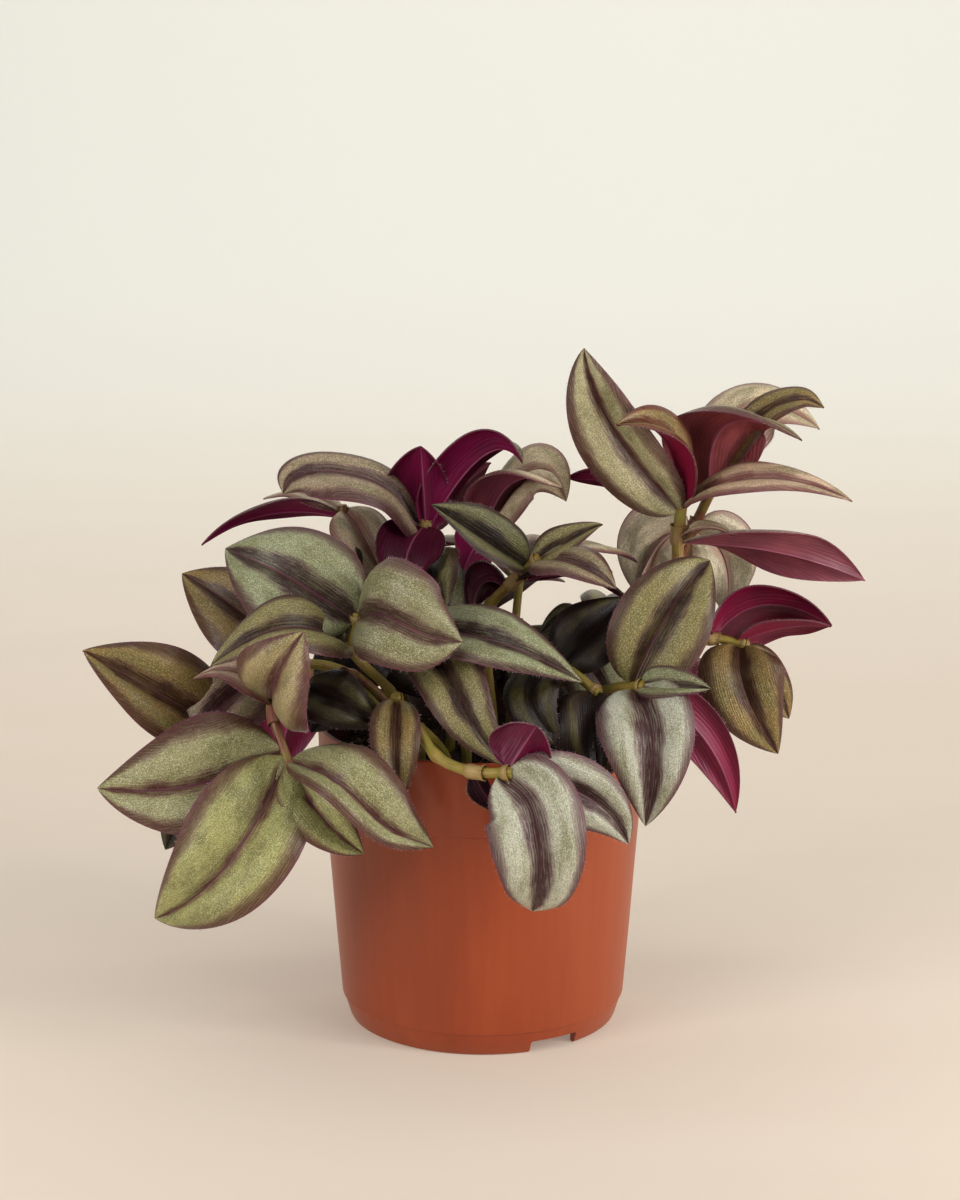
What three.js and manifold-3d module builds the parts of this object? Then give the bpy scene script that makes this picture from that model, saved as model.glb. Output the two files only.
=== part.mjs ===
// Potted tradescantia: a 12 cm nursery pot, its soil and the leafy stems that grow from it.
// Millimetres, +Z up. The origin is the middle of the pot's foot, on the surface that it stands on.
// The leaves hang out evenly, so it is the middle of the whole plant too. The seen side looks to -Y.

import * as THREE from 'three';
import { mergeVertices } from 'three/addons/utils/BufferGeometryUtils.js';
import Module from 'manifold-3d';

// Driving dimensions of the pot
const RIM_RADIUS = 60;
const POT_HEIGHT = 111;
const COLLAR_HEIGHT = 27;
const COLLAR_LOW_RADIUS = 59.5;
const BODY_TOP_RADIUS = 58;
const FOOT_LINE_RADIUS = 52;
const FOOT_LINE_HEIGHT = 8.5;
const FOOT_RADIUS = 49.5;
const FOOT_ROUNDING = 1.5;
const WALL = 1.8;
const FOOT_RING_HEIGHT = 5;
const FOOT_RING_WIDTH = 3;
const FLOOR = 2;
const POT_SEGMENTS = 36;
const NOTCH_ANGLES = [-59, 121];
const NOTCH_WIDTH = 19;
const NOTCH_HEIGHT = 4.6;
const DRAIN_RADIUS = 4;
const DRAIN_CIRCLE_RADIUS = 33;
const DRAIN_COUNT = 6;

// Driving dimensions of the soil and of the gap between pieces that touch
const SOIL_BELOW_RIM = 13;
const SOIL_UNEVENNESS = 1.3;
const SEAT_GAP = 0.3;
const HOLE_CLEARANCE = 0.7;

// Driving dimensions of the plant
const ROOT_DEPTH = 12;
const STEM_SIDES = 6;
const STEPS_PER_JOINT = 2;
const JOINT_LENGTH = 4.5;
const JOINT_SWELLING = 0.7;
const BLADE = 0.8;
const LEAF_LENGTHWISE = 5;
const LEAF_BASE_WIDTH = 2.6;
const LEAF_TIP_WIDTH = 0.7;
const LEAF_SPACING = 1.6;

const SOIL_TOP = POT_HEIGHT - SOIL_BELOW_RIM;

// The leafy stems. Each has its radius, the spot where it leaves the soil and its joints, in order.
// A leaf is: the joint it grows from, its tip, the way its striped upper face looks, its width,
// its arch, the fold of each half in degrees, its twist in degrees and its lean, the share by which
// its right half is wider and its left half narrower. The arch is a share of the length, or the point
// or points that the midrib passes through.
const LEAFY_STEMS = [
  {
    name: 'stem_low_left', radius: 2, root: [-26, -8],
    joints: [[-47, -14, 131], [-63, -32, 130], [-73, -45, 128], [-67, -54, 109]],
    leaves: [
      [3, [-134, -52, 100], [-0.1, -0.93, 0.35], 43, [-101, -60, 103], 6, 0, 0.12],
      [3, [-114, -62, 56], [0.05, -0.9, 0.4], 42, [-87, -76, 80], 14, 0, 0.05],
      [3, [-17, -76, 86], [0.25, -0.8, 0.55], 26, [[-50, -78, 110], [-32, -80, 94]], 12, 15, -0.35],
      [3, [-41, -70, 82], [0.1, -0.95, 0.2], 23, [-55, -70, 95], 20, 0, 0],
      [2, [-60, -74, 161], [-0.35, -0.9, 0.1], 36, [-70, -69, 144], 14, 0, 0.1],
      [2, [-101, -40, 136], [0, -0.1, 1], 22, 0.22, 10, 0, 0],
      [1, [-36, -46, 120], [-0.1, -0.8, 0.5], 22, [-50, -48, 130], 12, 0, 0],
      [0, [-61, -26, 113], [-0.1, -0.9, 0.3], 22, 0.05, 10, 0, 0],
    ],
  },
  {
    name: 'stem_left_back', radius: 2, root: [-34, 4],
    joints: [[-50, -6, 130], [-64, -14, 135], [-80, -22, 132], [-93, -28, 111]],
    leaves: [
      [3, [-139, -43, 147], [0.25, -0.85, 0.45], 34, 0.05, 12, 0, 0.12],
      [2, [-105, -38, 109], [-0.3, -0.85, 0.45], 32, 0.12, 10, 0, 0],
      [3, [-113, -34, 72], [0.1, -0.9, 0.4], 24, 0.08, 10, 0, 0],
      [1, [-108, -4, 166], [-0.1, -0.8, 0.6], 36, 0.12, 10, 0, 0],
    ],
  },
  {
    name: 'stem_left_mid', radius: 2, root: [-24, -18],
    joints: [[-33, -25, 128], [-46, -32, 145], [-44, -32, 156]],
    leaves: [
      [2, [-91, -18, 178], [-0.1, -0.8, 0.6], 44, 0.13, 8, 0, 0],
      [1, [-94, -50, 143], [-0.05, -0.6, 0.8], 28, 0.3, 12, 0, 0],
      [2, [-7, -60, 154], [-0.5, -0.75, 0.4], 38, [[-34, -54, 162], [-19, -59, 156]], 10, 0, -0.1],
    ],
  },
  {
    name: 'stem_centre_front', radius: 2, root: [-6, -24],
    joints: [[-16, -27, 130], [-28, -28, 152]],
    leaves: [
      [1, [34, -57, 139], [0.05, -0.65, 0.75], 27, 0.13, 12, 0, 0],
      [1, [7, -66, 112], [-0.3, -0.85, 0.45], 25, [[-13, -47, 142], [-4, -60, 127]], 14, 0, 0],
    ],
  },
  {
    name: 'stem_back_left', radius: 1.5, root: [-26, 16],
    joints: [[-40, 18, 140], [-50, 16, 171], [-51, 16, 186]],
    leaves: [
      [2, [-102, 8, 174], [0.1, 0.5, 0.85], 18, 0.13, 15, 0, 0],
      [2, [-81, 30, 187], [0, 0, 1], 18, 0.1, 10, 0, 0],
      [2, [-36, 4, 158], [0.4, -0.8, 0.4], 24, 0.15, 10, 0, 0],
      [1, [-47, -8, 161], [0.2, 0.6, 0.3], 20, 0.15, 10, 0, 0],
      [0, [-4, 14, 116], [0.1, -0.9, 0.3], 28, 0.08, 10, 0, 0],
      [0, [-59, 8, 115], [-0.1, -0.95, 0.3], 30, 0.08, 10, 0, 0],
    ],
  },
  {
    name: 'stem_centre_left', radius: 2, root: [-12, 6],
    joints: [[-24, 8, 146], [-20, 8, 169], [-21, 8, 182]],
    leaves: [
      [2, [-71, -8, 196], [-0.1, -0.65, 0.75], 26, [[-35, 4, 196], [-56, -2, 203], [-68, -7, 201]],
        12, 0, -0.25],
      [2, [-22, -8, 213], [0.05, 0.95, 0.1], 26, 0.05, 25, 0, 0.25],
      [2, [14, -8, 207], [-0.2, 0.55, 0.8], 28, [0, 0, 208], 30, 0, 0],
      [2, [3, 22, 202], [-0.1, 0.75, 0.5], 20, 0.05, 10, 0, 0],
      [2, [-25, -15, 163], [0, 0.95, -0.2], 25, [-27, -12, 174], -10, 0, 0],
      [1, [-13, -22, 157], [-0.2, -0.7, 0.5], 26, 0.1, 20, 0, 0],
    ],
  },
  {
    name: 'stem_centre_back', radius: 1.8, root: [2, 20],
    joints: [[-2, 18, 151], [1, 14, 179]],
    leaves: [
      [1, [30, 4, 191], [-0.1, -0.65, 0.75], 28, [18, 8, 200], 10, 0, 0],
      [1, [28, -14, 199], [-0.1, 0.4, 0.8], 26, [11, -2, 199], 12, 60, 0],
      [0, [-5, -3, 111], [0, -0.95, 0.3], 24, 0.04, 10, 0, 0],
      [1, [-7, -2, 167], [0.1, 0.9, 0.3], 18, 0.05, 10, 0, 0],
    ],
  },
  {
    name: 'stem_centre', radius: 2.2, root: [4, -8],
    joints: [[2, -12, 154], [10, -16, 165], [19, -20, 174]],
    leaves: [
      [2, [-18, -30, 196], [-0.1, -0.65, 0.75], 25, 0, 34, 0, 0],
      [2, [42, -24, 188], [0, -0.65, 0.75], 15, 0.05, 25, 0, 0],
      [2, [46, -44, 169], [0.1, -0.55, 0.85], 22, 0.15, 10, 0, 0],
      [2, [56, 6, 168], [0, 0, 1], 20, 0.1, 10, 0, 0],
      [1, [-4, -16, 153], [-0.2, 0.8, 0.4], 18, [0, -11, 164], 15, 0, 0],
      [1, [53, -20, 158], [0, 0.3, 0.9], 24, 0.15, 10, 0, 0],
    ],
  },
  {
    name: 'stem_centre_small', radius: 1.4, root: [16, -14],
    joints: [[34, -14, 140], [37, -14, 154]],
    leaves: [
      [1, [20, -25, 148], [-0.1, -0.6, 0.8], 10, 0.25, 20, 0, 0],
      [1, [25, -24, 141], [-0.2, -0.8, 0.5], 12, 0.15, 20, 0, 0],
      [0, [42, -4, 156], [0, -0.6, 0.4], 24, 0.1, 10, 0, 0],
      [0, [47, -13, 119], [0.1, -0.9, 0.3], 24, 0.1, 10, 0, 0],
    ],
  },
  {
    name: 'stem_right_tall', radius: 2.6, root: [34, 2],
    joints: [[52, -2, 128], [69, -5, 162], [70, -5, 179], [71, -5, 193]],
    leaves: [
      [3, [35, -24, 250], [-0.35, -0.9, 0.2], 29, [45, -22, 223], 20, 0, -0.1],
      [3, [46, -36, 225], [0.85, -0.2, 0.5], 24, [63, -22, 218], 42, 0, 0],
      [3, [128, -34, 198], [0, -0.5, 0.85], 18, 0.17, 12, 0, 0],
      [3, [30, 12, 198], [0, 0.6, 0.8], 24, 0.05, 10, 0, 0],
      [2, [139, 8, 161], [0, 0.7, 0.7], 28, [105, -4, 174], 10, -80, 0],
      [2, [89, -14, 182], [0, -0.3, 0.9], 8, 0.2, 20, 0, 0],
    ],
  },
  {
    name: 'stem_right_back', radius: 2.2, root: [38, 14],
    joints: [[60, 12, 140], [77, 10, 181], [83, 8, 195]],
    leaves: [
      [2, [111, -26, 218], [-0.15, 0.75, 0.6], 38, [86, -10, 221], 6, 50, 0],
      [2, [122, 4, 225], [-0.2, -0.65, 0.7], 14, [[100, 2, 223], [114, 4, 228]], 15, 0, 0],
      [2, [123, 24, 214], [0, -0.6, 0.8], 30, [98, 22, 221], 8, 0, 0],
      [1, [62, 20, 147], [-0.1, -0.9, 0.3], 32, [63, 15, 171], 10, 0, 0],
      [1, [89, 16, 146], [0.1, -0.9, 0.3], 28, [88, 13, 168], 10, 0, 0],
      [1, [58, 16, 151], [-0.2, 0.8, 0.4], 18, [66, 16, 162], 10, 0, 0],
    ],
  },
  {
    name: 'stem_right_low', radius: 2, root: [40, -4],
    joints: [[62, -2, 130], [83, 4, 140], [95, 4, 138]],
    leaves: [
      [1, [127, 4, 145], [0, 0.75, 0.65], 34, [103, 8, 152], 6, 0, -0.25],
      [2, [126, -2, 146], [0.1, 0.55, 0.8], 20, 0.08, 10, 0, -0.3],
      [2, [108, 0, 98], [0, -0.95, 0.3], 32, [95, -8, 123], 10, 0, 0],
      [2, [113, 12, 108], [0.2, -0.8, 0.3], 16, 0.1, 10, 0, 0],
    ],
  },
  {
    name: 'stem_right_front', radius: 2.2, root: [28, -20],
    joints: [[43, -34, 130], [55, -46, 135]],
    leaves: [
      [1, [79, -34, 177], [0.1, -0.9, 0.45], 35, [65, -44, 162], 15, 0, 0],
      [1, [56, -64, 90], [-0.1, -0.95, 0.3], 36, [58, -64, 120], 20, 0, 0.08],
      [1, [78, -62, 138], [0, -0.8, 0.6], 15, 0.05, 30, 0, 0],
      [1, [90, -32, 85], [-0.2, 0.9, 0.3], 19, [78, -40, 114], 10, 0, 0],
    ],
  },
  {
    name: 'stem_front_right', radius: 2, root: [14, -28],
    joints: [[27, -36, 139], [39, -44, 133]],
    leaves: [
      [1, [40, -56, 101], [0.1, -0.95, 0.3], 32, [39, -54, 120], 10, 0, 0.1],
      [0, [28, -58, 116], [-0.3, -0.85, 0.5], 22, [17, -52, 132], 15, 0, 0],
      [0, [50, -22, 161], [-0.2, -0.9, 0.4], 26, 0.05, 12, 0, 0],
    ],
  },
  {
    name: 'stem_front', radius: 2.2, root: [-13, -38],
    joints: [[-22, -54, 122], [-16, -64, 115], [-4, -73, 112], [8, -78, 113]],
    leaves: [
      [3, [17, -72, 62], [0, -0.98, 0.15], 35, [[15, -81, 104], [19, -85, 88], [19, -81, 72]], 15, 0, 0],
      [3, [50, -66, 84], [-0.25, -0.9, 0.3], 25, [35, -71, 103], 15, 0, 0],
      [3, [18, -84, 131], [0.3, 0.8, 0.5], 24, 0.05, 20, 0, 0],
      [2, [5, -70, 97], [-0.5, 0.5, 0], 10, 0.05, 20, 0, 0],
    ],
  },
  {
    name: 'stem_front_left', radius: 1.8, root: [-22, -30],
    joints: [[-30, -44, 130]],
    leaves: [
      [0, [-29, -66, 98], [0, -0.95, 0.3], 19, [-30, -63, 117], 20, 0, 0],
    ],
  },
  {
    name: 'stem_back_low_left', radius: 2, root: [-30, 22],
    joints: [[-42, 34, 128], [-56, 45, 130], [-66, 53, 116]],
    leaves: [
      [2, [-114, 66, 88], [-0.3, 0.5, 0.8], 34, 0.15, 12, 0, 0],
      [2, [-82, 82, 64], [-0.2, 0.9, 0.4], 32, 0.1, 12, 0, 0],
      [1, [-96, 30, 142], [-0.2, 0.1, 0.95], 28, 0.15, 12, 0, 0],
      [1, [-40, 82, 146], [0.1, 0.4, 0.9], 28, 0.18, 12, 0, 0],
      [0, [-74, 52, 154], [-0.3, 0.3, 0.9], 26, 0.15, 12, 0, 0],
    ],
  },
  {
    name: 'stem_back_mid', radius: 2, root: [-4, 32],
    joints: [[-5, 44, 132], [-3, 56, 134], [2, 66, 120]],
    leaves: [
      [2, [-20, 82, 66], [-0.2, 0.9, 0.45], 32, 0.1, 12, 0, 0],
      [2, [28, 81, 70], [0.3, 0.9, 0.45], 32, 0.1, 12, 0, 0],
      [1, [-42, 81, 124], [-0.2, 0.5, 0.85], 26, 0.16, 12, 0, 0],
      [1, [32, 80, 145], [0.2, 0.3, 0.95], 26, 0.15, 12, 0, 0],
      [0, [-14, 76, 157], [0, 0.4, 0.9], 26, 0.2, 12, 0, 0],
    ],
  },
  {
    name: 'stem_back_low_right', radius: 2, root: [26, 26],
    joints: [[38, 36, 130], [50, 46, 130], [60, 54, 115]],
    leaves: [
      [2, [104, 74, 86], [0.5, 0.6, 0.6], 34, 0.14, 12, 0, 0],
      [2, [72, 80, 62], [0.1, 0.95, 0.35], 32, 0.1, 12, 0, 0],
      [1, [92, 44, 138], [0.3, 0.1, 0.95], 28, 0.15, 12, 0, 0],
      [1, [46, 86, 136], [0.1, 0.4, 0.9], 26, 0.18, 12, 0, 0],
      [0, [62, 24, 152], [0.2, 0, 0.95], 26, 0.15, 12, 0, 0],
    ],
  },
  {
    name: 'stem_back_top', radius: 1.8, root: [10, 14],
    joints: [[12, 22, 140], [14, 32, 158]],
    leaves: [
      [1, [-26, 54, 160], [-0.1, 0.3, 0.95], 30, 0.2, 12, 0, 0],
      [1, [34, 70, 156], [0.2, 0.4, 0.9], 30, 0.2, 12, 0, 0],
      [1, [48, 26, 160], [0.2, 0, 0.95], 26, 0.2, 12, 0, 0],
      [0, [30, 6, 104], [0.2, -0.9, 0.3], 34, 0.1, 10, 0, 0],
    ],
  },
];

const wasm = await Module();
wasm.setup();

// A closed geometry as a solid that can be joined and cut
function solidOf(geometry) {
  geometry.deleteAttribute('normal');
  geometry.deleteAttribute('uv');
  const merged = mergeVertices(geometry, 1e-4);
  const index = merged.index.array;
  const triangles = [];
  for (let i = 0; i < index.length; i += 3) {
    const [a, b, c] = index.slice(i, i + 3);
    if (a !== b && b !== c && c !== a) triangles.push(a, b, c);
  }
  const triVerts = new Uint32Array(triangles);
  const vertProperties = merged.attributes.position.array;
  return new wasm.Manifold(new wasm.Mesh({ numProp: 3, vertProperties, triVerts }));
}

function meshOf(name, solid, material) {
  const { vertProperties, triVerts } = solid.getMesh();
  const geometry = new THREE.BufferGeometry();
  geometry.setAttribute('position', new THREE.BufferAttribute(vertProperties, 3));
  geometry.setIndex(new THREE.BufferAttribute(triVerts, 1));
  geometry.computeVertexNormals();
  const mesh = new THREE.Mesh(geometry, material);
  mesh.name = name;
  return mesh;
}

// A turned shape about +Z, from points of radius and height
function turned(profile, segments) {
  const points = profile.map(([radius, height]) => new THREE.Vector2(radius, height));
  return new THREE.LatheGeometry(points, segments).rotateX(Math.PI / 2);
}

// The pot's wall is a straight taper, so its radius at a height is a straight line
function bodyRadius(height) {
  const rise = (height - FOOT_LINE_HEIGHT) / (POT_HEIGHT - COLLAR_HEIGHT - FOOT_LINE_HEIGHT);
  return FOOT_LINE_RADIUS + (BODY_TOP_RADIUS - FOOT_LINE_RADIUS) * rise;
}

// Pot: one moulded shell with a deep collar, a raised floor and a notched foot ring
function pot() {
  const collarFoot = POT_HEIGHT - COLLAR_HEIGHT;
  const floorTop = FOOT_RING_HEIGHT + FLOOR;
  const shell = solidOf(turned([
    [0, FOOT_RING_HEIGHT],
    [FOOT_RADIUS - FOOT_RING_WIDTH, FOOT_RING_HEIGHT],
    [FOOT_RADIUS - FOOT_RING_WIDTH, 0],
    [FOOT_RADIUS - FOOT_ROUNDING, 0],
    [FOOT_RADIUS, FOOT_ROUNDING],
    [FOOT_LINE_RADIUS - 0.4, FOOT_LINE_HEIGHT],
    [FOOT_LINE_RADIUS, FOOT_LINE_HEIGHT + 0.5],
    [BODY_TOP_RADIUS, collarFoot],
    [COLLAR_LOW_RADIUS, collarFoot + 0.6],
    [RIM_RADIUS, POT_HEIGHT - 1],
    [RIM_RADIUS - 0.6, POT_HEIGHT],
    [RIM_RADIUS - WALL, POT_HEIGHT],
    [COLLAR_LOW_RADIUS - WALL, collarFoot + 2],
    [BODY_TOP_RADIUS - WALL, collarFoot],
    [bodyRadius(floorTop) - WALL - 1, floorTop + 1],
    [bodyRadius(floorTop) - WALL - 2, floorTop],
    [0, floorTop],
  ], POT_SEGMENTS));
  const notches = NOTCH_ANGLES.map((degrees) => solidOf(
    new THREE.BoxGeometry(FOOT_RING_WIDTH * 6, NOTCH_WIDTH, NOTCH_HEIGHT * 2)
      .translate(FOOT_RADIUS, 0, 0)
      .rotateZ(THREE.MathUtils.degToRad(degrees)),
  ));
  const drains = Array.from({ length: DRAIN_COUNT }, (_, i) => solidOf(
    new THREE.CylinderGeometry(DRAIN_RADIUS, DRAIN_RADIUS, FLOOR * 3, 12)
      .rotateX(Math.PI / 2)
      .translate(DRAIN_CIRCLE_RADIUS, 0, FOOT_RING_HEIGHT + FLOOR / 2)
      .rotateZ((2 * Math.PI * (i + 0.5)) / DRAIN_COUNT),
  ));
  return [...notches, ...drains].reduce((solid, cut) => solid.subtract(cut), shell);
}

// Soil: fills the pot, with an uneven top and a plain hole for each stem
function soil() {
  const floor = FOOT_RING_HEIGHT + FLOOR + SEAT_GAP;
  const collarFoot = POT_HEIGHT - COLLAR_HEIGHT;
  const inside = WALL + SEAT_GAP + 0.2;
  const topRadius = COLLAR_LOW_RADIUS - inside;
  const rings = [0.9, 0.65, 0.35].map((share) => [topRadius * share, SOIL_TOP]);
  const plug = turned([
    [0, floor],
    [bodyRadius(floor) - inside - 3, floor],
    [BODY_TOP_RADIUS - inside, collarFoot],
    [topRadius, collarFoot + 3],
    [topRadius, SOIL_TOP - 1],
    ...rings,
    [0, SOIL_TOP],
  ], POT_SEGMENTS / 2);
  const position = plug.attributes.position;
  for (let i = 0; i < position.count; i += 1) {
    if (position.getZ(i) > SOIL_TOP - 0.5) {
      const x = position.getX(i);
      const y = position.getY(i);
      const lump = Math.sin(x * 0.21 + 1) * Math.cos(y * 0.17) + 0.6 * Math.sin(x * 0.13 - y * 0.3);
      position.setZ(i, SOIL_TOP + SOIL_UNEVENNESS * lump);
    }
  }
  const holes = LEAFY_STEMS.map(({ root, radius }) => {
    const holeRadius = radius + HOLE_CLEARANCE;
    const depth = ROOT_DEPTH + SEAT_GAP;
    return solidOf(
      new THREE.CylinderGeometry(holeRadius, holeRadius, depth * 2, STEM_SIDES)
        .rotateX(Math.PI / 2)
        .translate(root[0], root[1], SOIL_TOP),
    );
  });
  return holes.reduce((solid, hole) => solid.subtract(hole), solidOf(plug));
}

// The route of a stem: straight up out of the soil, through its joints and a little past the last
function stemCurve({ root, joints, radius }) {
  const up = (height) => new THREE.Vector3(root[0], root[1], SOIL_TOP + height);
  const points = [up(-ROOT_DEPTH), up(0), up(ROOT_DEPTH * 0.7)];
  joints.forEach((joint) => points.push(new THREE.Vector3(...joint)));
  const [before, last] = points.slice(-2);
  points.push(last.clone().addScaledVector(last.clone().sub(before).normalize(), radius));
  return new THREE.CatmullRomCurve3(points, false, 'centripetal');
}

function stemTube(curve, radius) {
  const corners = Array.from({ length: STEM_SIDES }, (_, i) => {
    const angle = (2 * Math.PI * i) / STEM_SIDES;
    return new THREE.Vector2(radius * Math.cos(angle), radius * Math.sin(angle));
  });
  const steps = STEPS_PER_JOINT * (curve.points.length - 2);
  return solidOf(new THREE.ExtrudeGeometry(new THREE.Shape(corners), { extrudePath: curve, steps }));
}

// A joint: the short swollen sheath where a leaf wraps the stem
function stemJoint(curve, number, radius) {
  const t = (number + 3) / (curve.points.length - 1);
  const swollen = radius + JOINT_SWELLING;
  const sheath = new THREE.CylinderGeometry(swollen, swollen, JOINT_LENGTH, STEM_SIDES);
  const turn = new THREE.Quaternion().setFromUnitVectors(new THREE.Vector3(0, 1, 0), curve.getTangent(t));
  const { x, y, z } = curve.getPoint(t);
  return solidOf(sheath.applyQuaternion(turn).translate(x, y, z));
}

// The midrib: a smooth arch from the joint to the tip, or a line that winds through several points
function midribCurve(base, tip, face, arch) {
  if (Array.isArray(arch) && Array.isArray(arch[0])) {
    const points = arch.map((point) => new THREE.Vector3(...point));
    return new THREE.CatmullRomCurve3([base, ...points, tip], false, 'centripetal');
  }
  const middle = base.clone().lerp(tip, 0.5);
  let through;
  if (Array.isArray(arch)) {
    through = new THREE.Vector3(...arch);
  } else {
    const chord = tip.clone().sub(base);
    const out = face.clone().projectOnPlane(chord.clone().normalize()).normalize();
    through = middle.clone().addScaledVector(out, arch * chord.length());
  }
  const control = through.multiplyScalar(2).sub(middle);
  return new THREE.QuadraticBezierCurve3(base, control, tip);
}

// How the upper face looks at each step along the midrib, carried along from the middle
function facesAlong(curve, face, steps) {
  const faces = [];
  const middle = Math.floor(steps / 2);
  const level = (from, k) => from.clone().projectOnPlane(curve.getTangent(k / steps)).normalize();
  faces[middle] = level(face, middle);
  for (let k = middle + 1; k <= steps; k += 1) faces[k] = level(faces[k - 1], k);
  for (let k = middle - 1; k >= 0; k -= 1) faces[k] = level(faces[k + 1], k);
  return faces;
}

// The outline of a leaf: round at its foot, widest before the middle and drawn out to a point
function halfWidth(u, width) {
  const least = u < 0.5 ? LEAF_BASE_WIDTH / 2 : LEAF_TIP_WIDTH / 2;
  return Math.max((width / 2) * (u ** 0.5) * ((1 - u) ** 0.8) / 0.42, least);
}

// Both faces of a blade are split into triangles alike, so they never cross
function alignLowerFace(box) {
  const index = box.index.array;
  const { start, count } = box.groups[5];
  for (let i = start; i < start + count; i += 6) {
    const [a, b, d, , c] = index.slice(i, i + 6);
    index.set([a, b, c, a, c, d], i);
  }
}

// Where a leaf starts: inside the stem's skin, with the leaves of one joint close below each other
function leafBase(curve, { joints, leaves, radius }, row) {
  const joint = new THREE.Vector3(...joints[row[0]]);
  const crowd = leaves.filter(([number]) => number === row[0]);
  const place = crowd.indexOf(row) - (crowd.length - 1);
  const along = curve.getTangent((row[0] + 3) / (curve.points.length - 1));
  const outwards = new THREE.Vector3(...row[1]).sub(joint).normalize();
  return joint.addScaledVector(along, place * LEAF_SPACING).addScaledVector(outwards, radius / 2);
}

function leaf(base, [, tipAt, faceAt, width, arch, fold, twist, lean]) {
  const tip = new THREE.Vector3(...tipAt);
  const face = new THREE.Vector3(...faceAt);
  const midrib = midribCurve(base, tip, face, arch);
  const faces = facesAlong(midrib, face, LEAF_LENGTHWISE);
  const blade = new THREE.BoxGeometry(1, 1, 1, 2, LEAF_LENGTHWISE, 1);
  alignLowerFace(blade);
  const foldAngle = THREE.MathUtils.degToRad(fold);
  const position = blade.attributes.position;
  for (let i = 0; i < position.count; i += 1) {
    const across = position.getX(i) * 2;
    const step = Math.round((position.getY(i) + 0.5) * LEAF_LENGTHWISE);
    const u = step / LEAF_LENGTHWISE;
    const along = midrib.getTangent(u);
    const out = faces[step].clone().applyAxisAngle(along, THREE.MathUtils.degToRad(twist * (u - 0.5)));
    const side = new THREE.Vector3().crossVectors(along, out);
    const reach = halfWidth(u, width) * (1 + Math.sign(across) * lean);
    const rise = Math.abs(across) * reach * Math.sin(foldAngle) + position.getZ(i) * BLADE;
    const point = midrib.getPoint(u)
      .addScaledVector(side, across * reach * Math.cos(foldAngle))
      .addScaledVector(out, rise);
    position.setXYZ(i, point.x, point.y, point.z);
  }
  return solidOf(blade);
}

// Leafy stem: the tube, its joints and its leaves grown together as one body
function leafyStem(plan) {
  const curve = stemCurve(plan);
  const jointNumbers = [...new Set(plan.leaves.map(([joint]) => joint))];
  const pieces = [
    ...jointNumbers.map((number) => stemJoint(curve, number, plan.radius)),
    ...plan.leaves.map((row) => leaf(leafBase(curve, plan, row), row)),
  ];
  return pieces.reduce((solid, piece) => solid.add(piece), stemTube(curve, plan.radius));
}

const potPlastic = new THREE.MeshStandardMaterial({ color: 0xb8683e, roughness: 0.45, metalness: 0 });
const peat = new THREE.MeshStandardMaterial({ color: 0x2b1d14, roughness: 0.95, metalness: 0 });
const foliage = () => new THREE.MeshStandardMaterial({
  color: 0x6d6b52, roughness: 0.5, metalness: 0, side: THREE.DoubleSide,
});

const plant = new THREE.Group();
LEAFY_STEMS.forEach((plan) => plant.add(meshOf(plan.name, leafyStem(plan), foliage())));

const pottedTradescantia = new THREE.Group();
pottedTradescantia.add(meshOf('pot', pot(), potPlastic));
pottedTradescantia.add(meshOf('soil', soil(), peat));
pottedTradescantia.add(plant);

export default pottedTradescantia;
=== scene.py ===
import math
import random

import bpy
from mathutils import Matrix, Vector, noise


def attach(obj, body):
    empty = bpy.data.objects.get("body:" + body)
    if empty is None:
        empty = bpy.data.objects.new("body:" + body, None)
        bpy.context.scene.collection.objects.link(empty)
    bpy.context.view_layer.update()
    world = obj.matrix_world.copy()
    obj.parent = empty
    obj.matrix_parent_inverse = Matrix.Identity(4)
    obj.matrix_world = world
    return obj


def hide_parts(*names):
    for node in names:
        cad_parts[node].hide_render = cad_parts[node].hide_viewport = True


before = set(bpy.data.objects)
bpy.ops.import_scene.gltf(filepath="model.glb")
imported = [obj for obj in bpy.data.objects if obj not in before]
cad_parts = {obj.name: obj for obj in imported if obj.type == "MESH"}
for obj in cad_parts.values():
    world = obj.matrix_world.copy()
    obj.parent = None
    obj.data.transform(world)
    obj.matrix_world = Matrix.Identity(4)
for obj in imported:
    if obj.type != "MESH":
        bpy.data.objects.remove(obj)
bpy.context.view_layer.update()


# The pot: a 12 cm nursery pot, one injection-moulded shell of terracotta-coloured plastic. It tapers
# to a narrow foot ring with two water notches, and has a deep collar and drainage holes in its raised
# floor. Sizes are in millimetres, and MM turns them into Blender's metres.
MM = 0.001
FOOT_RADIUS = 49.5
FLOOR_BELOW = 5
FLOOR_ABOVE = 7
POT_SEGMENTS = 144
FOOT_PROFILE = [
    (FOOT_RADIUS - 3, FLOOR_BELOW), (FOOT_RADIUS - 3, 0.3), (FOOT_RADIUS - 2.7, 0),
    (FOOT_RADIUS - 1.4, 0), (FOOT_RADIUS - 0.5, 0.5), (FOOT_RADIUS, 1.6),
    (51.55, 8.3), (51.75, 8.45), (52.05, 8.75), (52.1, 9.2),
]
WALL_PROFILE = [(54, 32), (56, 58.5), (57.95, 83.4)]
COLLAR_PROFILE = [
    (58.15, 83.8), (59.0, 83.95), (59.35, 84.15), (59.5, 84.6), (59.75, 97), (59.95, 109.6),
    (59.8, 110.5), (59.3, 111), (58.7, 111), (58.25, 110.7), (58.1, 110.1), (57.7, 86.5), (56.3, 84),
]
INNER_PROFILE = [(54.2, 58), (52.2, 32), (50.4, FLOOR_ABOVE + 1.4), (49, FLOOR_ABOVE)]
NOTCH_ANGLES = (-59, 121)
NOTCH_WIDTH = 19
NOTCH_HEIGHT = 4.6
NOTCH_DEPTH = 14
NOTCH_ROUNDING = 0.9
DRAIN_RADIUS = 4
DRAIN_CIRCLE = 33
DRAIN_COUNT = 6
DRAIN_SIDES = 32
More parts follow.
